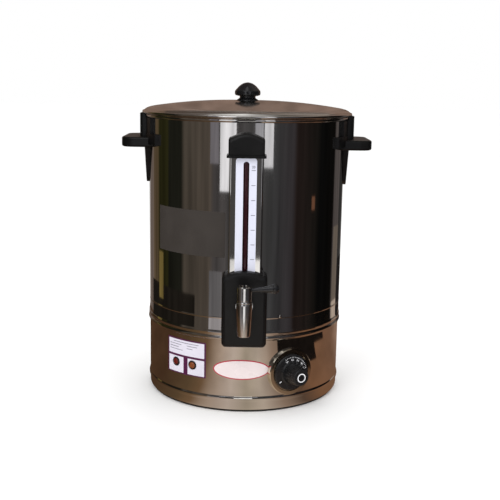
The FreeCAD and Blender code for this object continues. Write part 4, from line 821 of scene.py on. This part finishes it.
# Painted shadows lying on the table, dark sheets that only reflections see: name, low and high azimuth, inner
# reach
TABLE_SHADOWS = (("near_table_shadow", 34, 79, 0.335), ("far_table_shadow", 79, 95, 0.43))
# tone of the painted shadows on the table
TABLE_SHADOW_TONE = (0.008, 0.006, 0.005)
ROOM_RADIUS = 0.56
ROOM_HEIGHT = 0.80
CARD_RADIUS = 0.54
CARD_STEP = 0.001
TABLE_LIFT = 0.0004
# Area lights: name, place, target, width and depth in metres, power in watts
LIGHTS = (
    ("key", (-0.9, -1.6, 1.9), (0, 0, 0.25), (0.9, 0.9), 12.0),
    ("fill", (1.5, -1.2, 1.3), (0, 0, 0.25), (1.2, 1.2), 6.0),
    ("back", (0.2, 1.6, 1.9), (0, 0, 0.35), (1.4, 0.7), 8.0),
)
SOFT_LIGHT = 1.06
FLOOR_SIZE = 12.0
FLOOR_TONE = (0.96, 0.96, 0.96)
# Camera: place in metres, tilts in degrees, and the focal length in pixels of a square picture of PHOTO_SIDE
CAMERA_PLACE = (0, -1.4198, 0.48965)
CAMERA_PITCH = 10.98
CAMERA_ROLL = 0.994
CAMERA_YAW = 0.311
FOCAL_PIXELS = 914.7
PHOTO_SIDE = 500.0
SENSOR_WIDTH = 36.0


def gloss_only(name, mesh, material):
    """A stage piece that reflections see and nothing else does."""
    card = bpy.data.objects.new(name, mesh)
    bpy.context.scene.collection.objects.link(card)
    mesh.materials.append(material)
    card.visible_camera = False
    card.visible_diffuse = False
    card.visible_shadow = False
    card.visible_transmission = False
    card.visible_volume_scatter = False


def round_glow(name, stops, stretch, scale, low, high):
    """Light whose tone goes round the urn through the stops and is mottled by a stretched noise."""
    material = bpy.data.materials.new(name)
    material.use_nodes = True
    tree = material.node_tree
    tree.nodes.remove(tree.nodes["Principled BSDF"])
    coordinates = tree.nodes.new("ShaderNodeTexCoord")
    turn = tree.nodes.new("ShaderNodeTexGradient")
    turn.gradient_type = "RADIAL"
    tree.links.new(coordinates.outputs["Object"], turn.inputs["Vector"])
    ramp = tree.nodes.new("ShaderNodeValToRGB")
    ramp.color_ramp.interpolation = "LINEAR"
    places = sorted((((azimuth + 90.0) / 360.0) % 1.0, colour) for azimuth, colour in stops)
    elements = ramp.color_ramp.elements
    for index, (position, colour) in enumerate(places):
        element = elements[index] if index < 2 else elements.new(position)
        element.position = position
        element.color = (*colour, 1.0)
    tree.links.new(turn.outputs["Fac"], ramp.inputs["Fac"])
    mottle = span(tree, stretched_noise(tree, coordinates.outputs["Object"], stretch, scale), low, high)
    light = tree.nodes.new("ShaderNodeEmission")
    tree.links.new(ramp.outputs["Color"], light.inputs["Color"])
    tree.links.new(mottle, light.inputs["Strength"])
    tree.links.new(light.outputs["Emission"], tree.nodes["Material Output"].inputs["Surface"])
    return material


def swept(low, high, start, end):
    """A sheet swept by the line from start to end, (radius, height) pairs, between two azimuths."""
    low, high = math.radians(low), math.radians(high)
    shape = bmesh.new()
    verts = [shape.verts.new((reach * math.sin(low), -reach * math.cos(low), z)) for reach, z in (start, end)]
    edge = shape.edges.new(verts)
    steps = max(3, math.ceil(math.degrees(high - low) / 6.0))
    bmesh.ops.spin(
        shape, geom=verts + [edge], cent=(0, 0, 0), axis=(0, 0, 1), angle=high - low, steps=steps,
        use_merge=False)
    return mesh_from("swept", shape)


def area_light(name, place, target, size, power):
    """A soft oblong light at the place, turned towards the target."""
    data = bpy.data.lights.new(name, "AREA")
    data.shape = "RECTANGLE"
    data.size, data.size_y = size
    data.energy = power
    lamp = bpy.data.objects.new(name, data)
    bpy.context.scene.collection.objects.link(lamp)
    lamp.location = place
    lamp.rotation_euler = (Vector(target) - Vector(place)).to_track_quat("-Z", "Y").to_euler()


class URN_OT_stage(bpy.types.Operator):
    """Floor, cards, lights, background and camera"""
    bl_idname = "urn.stage"
    bl_label = "Stage"

    def execute(self, context):
        scene = context.scene
        floor_mesh = bpy.data.meshes.new("floor")
        shape = bmesh.new()
        bmesh.ops.create_grid(shape, x_segments=1, y_segments=1, size=FLOOR_SIZE)
        shape.to_mesh(floor_mesh)
        shape.free()
        floor = bpy.data.objects.new("floor", floor_mesh)
        scene.collection.objects.link(floor)
        material, tree, shader, place = start_finish("floor")
        fac = stretched_noise(tree, place, (1, 1, 1), 2.0)
        tree.links.new(tone(tree, fac, FLOOR_TONE, 0.01), shader.inputs["Base Color"])
        shader.inputs["Roughness"].default_value = 0.9
        floor_mesh.materials.append(material)
        self.surroundings()
        for light in LIGHTS:
            area_light(*light)
        self.background(scene)
        self.camera(scene)
        scene.view_settings.view_transform = "Standard"
        return {"FINISHED"}

    def surroundings(self):
        """The room, table, painted table shadows and ceiling that the gloss of the urn mirrors."""
        room = swept(-180, 180, (ROOM_RADIUS, 0.0), (ROOM_RADIUS, ROOM_HEIGHT))
        gloss_only("room", room, round_glow("room", ROOM, (1, 1, 7), 14.0, 0.65, 1.4))
        table = swept(-180, 180, (MM, TABLE_LIFT), (ROOM_RADIUS, TABLE_LIFT))
        gloss_only("table", table, round_glow("table", TABLE, (1, 1, 1), 7.0, 0.85, 1.15))
        ceiling = swept(-180, 180, (MM, ROOM_HEIGHT), (ROOM_RADIUS, ROOM_HEIGHT))
        gloss_only("ceiling", ceiling, round_glow("ceiling", CEILING, (1, 1, 1), 7.0, 0.85, 1.15))
        for index, (name, low, high, bottom, top, colour) in enumerate(CARDS):
            reach = CARD_RADIUS - index * CARD_STEP
            card = swept(low, high, (reach, bottom), (reach, top))
            tones = ((0, colour), (180, colour))
            gloss_only(name, card, round_glow(name, tones, (1, 1, 5), 22.0, 0.75, 1.25))
        # painted shadows on the table, which the base mirrors as a dark patch above the dial
        for name, low, high, inner in TABLE_SHADOWS:
            patch = swept(low, high, (inner, 2.0 * TABLE_LIFT), (CARD_RADIUS, 2.0 * TABLE_LIFT))
            tones = ((0, TABLE_SHADOW_TONE), (180, TABLE_SHADOW_TONE))
            gloss_only(name, patch, round_glow(name, tones, (1, 1, 1), 22.0, 0.75, 1.25))

    def background(self, scene):
        """White to the camera, to gloss and through glass, and a soft even light otherwise."""
        world = bpy.data.worlds.new("backdrop")
        scene.world = world
        world.use_nodes = True
        tree = world.node_tree
        soft = tree.nodes["Background"]
        soft.inputs["Color"].default_value = (1, 1, 1, 1)
        soft.inputs["Strength"].default_value = SOFT_LIGHT
        white = tree.nodes.new("ShaderNodeBackground")
        white.inputs["Color"].default_value = (1, 1, 1, 1)
        white.inputs["Strength"].default_value = 1.0
        path = tree.nodes.new("ShaderNodeLightPath")
        total = path.outputs["Is Camera Ray"]
        for other in ("Is Glossy Ray", "Is Transmission Ray"):
            add = tree.nodes.new("ShaderNodeMath")
            add.operation = "ADD"
            add.use_clamp = True
            tree.links.new(total, add.inputs[0])
            tree.links.new(path.outputs[other], add.inputs[1])
            total = add.outputs["Value"]
        mix = tree.nodes.new("ShaderNodeMixShader")
        tree.links.new(total, mix.inputs["Fac"])
        tree.links.new(soft.outputs["Background"], mix.inputs[1])
        tree.links.new(white.outputs["Background"], mix.inputs[2])
        tree.links.new(mix.outputs["Shader"], tree.nodes["World Output"].inputs["Surface"])

    def camera(self, scene):
        """A camera at the height and distance that the picture was taken from."""
        pitch, roll, yaw = (math.radians(tilt) for tilt in (CAMERA_PITCH, CAMERA_ROLL, CAMERA_YAW))
        forward = Vector((
            math.sin(yaw) * math.cos(pitch), math.cos(yaw) * math.cos(pitch), -math.sin(pitch)))
        right = Vector((math.cos(yaw), -math.sin(yaw), 0))
        up = right.cross(forward)
        turned_right = math.cos(roll) * right + math.sin(roll) * up
        turned_up = math.cos(roll) * up - math.sin(roll) * right
        data = bpy.data.cameras.new("camera")
        data.sensor_width = SENSOR_WIDTH
        data.sensor_fit = "HORIZONTAL"
        data.lens = FOCAL_PIXELS * SENSOR_WIDTH / PHOTO_SIDE
        data.clip_end = 50.0
        camera = bpy.data.objects.new("camera", data)
        scene.collection.objects.link(camera)
        turn = Matrix((turned_right, turned_up, -forward)).transposed().to_4x4()
        camera.matrix_world = Matrix.Translation(CAMERA_PLACE) @ turn
        scene.camera = camera


class URN_PT_panel(bpy.types.Panel):
    """Sizes, colours and steps of the urn"""
    bl_idname = "URN_PT_panel"
    bl_label = "Hot water urn"
    bl_space_type = "VIEW_3D"
    bl_region_type = "UI"
    bl_category = "Urn"

    def draw(self, context):
        layout = self.layout
        for group in (context.scene.urn_sizes, context.scene.urn_colours):
            for name in group.bl_rna.properties.keys():
                if name not in ("rna_type", "name"):
                    layout.prop(group, name)
        for step in STEPS:
            layout.operator(step.bl_idname)


STEPS = (
    URN_OT_drum, URN_OT_lid, URN_OT_handles, URN_OT_gauge, URN_OT_tap, URN_OT_dial, URN_OT_lamp_panel,
    URN_OT_badge, URN_OT_blank_label, URN_OT_inside, URN_OT_stage,
)
CLASSES = (UrnSizes, UrnColours) + STEPS + (URN_PT_panel,)


def register():
    for item in CLASSES:
        bpy.utils.register_class(item)
    bpy.types.Scene.urn_sizes = bpy.props.PointerProperty(type=UrnSizes)
    bpy.types.Scene.urn_colours = bpy.props.PointerProperty(type=UrnColours)


def unregister():
    del bpy.types.Scene.urn_colours
    del bpy.types.Scene.urn_sizes
    for item in reversed(CLASSES):
        bpy.utils.unregister_class(item)


def main():
    register()
    bpy.ops.urn.drum()
    bpy.ops.urn.lid()
    bpy.ops.urn.handles()
    bpy.ops.urn.gauge()
    bpy.ops.urn.tap()
    bpy.ops.urn.dial()
    bpy.ops.urn.lamp_panel()
    bpy.ops.urn.badge()
    bpy.ops.urn.blank_label()
    bpy.ops.urn.inside()
    bpy.ops.urn.stage()


if __name__ == "__main__":
    main()
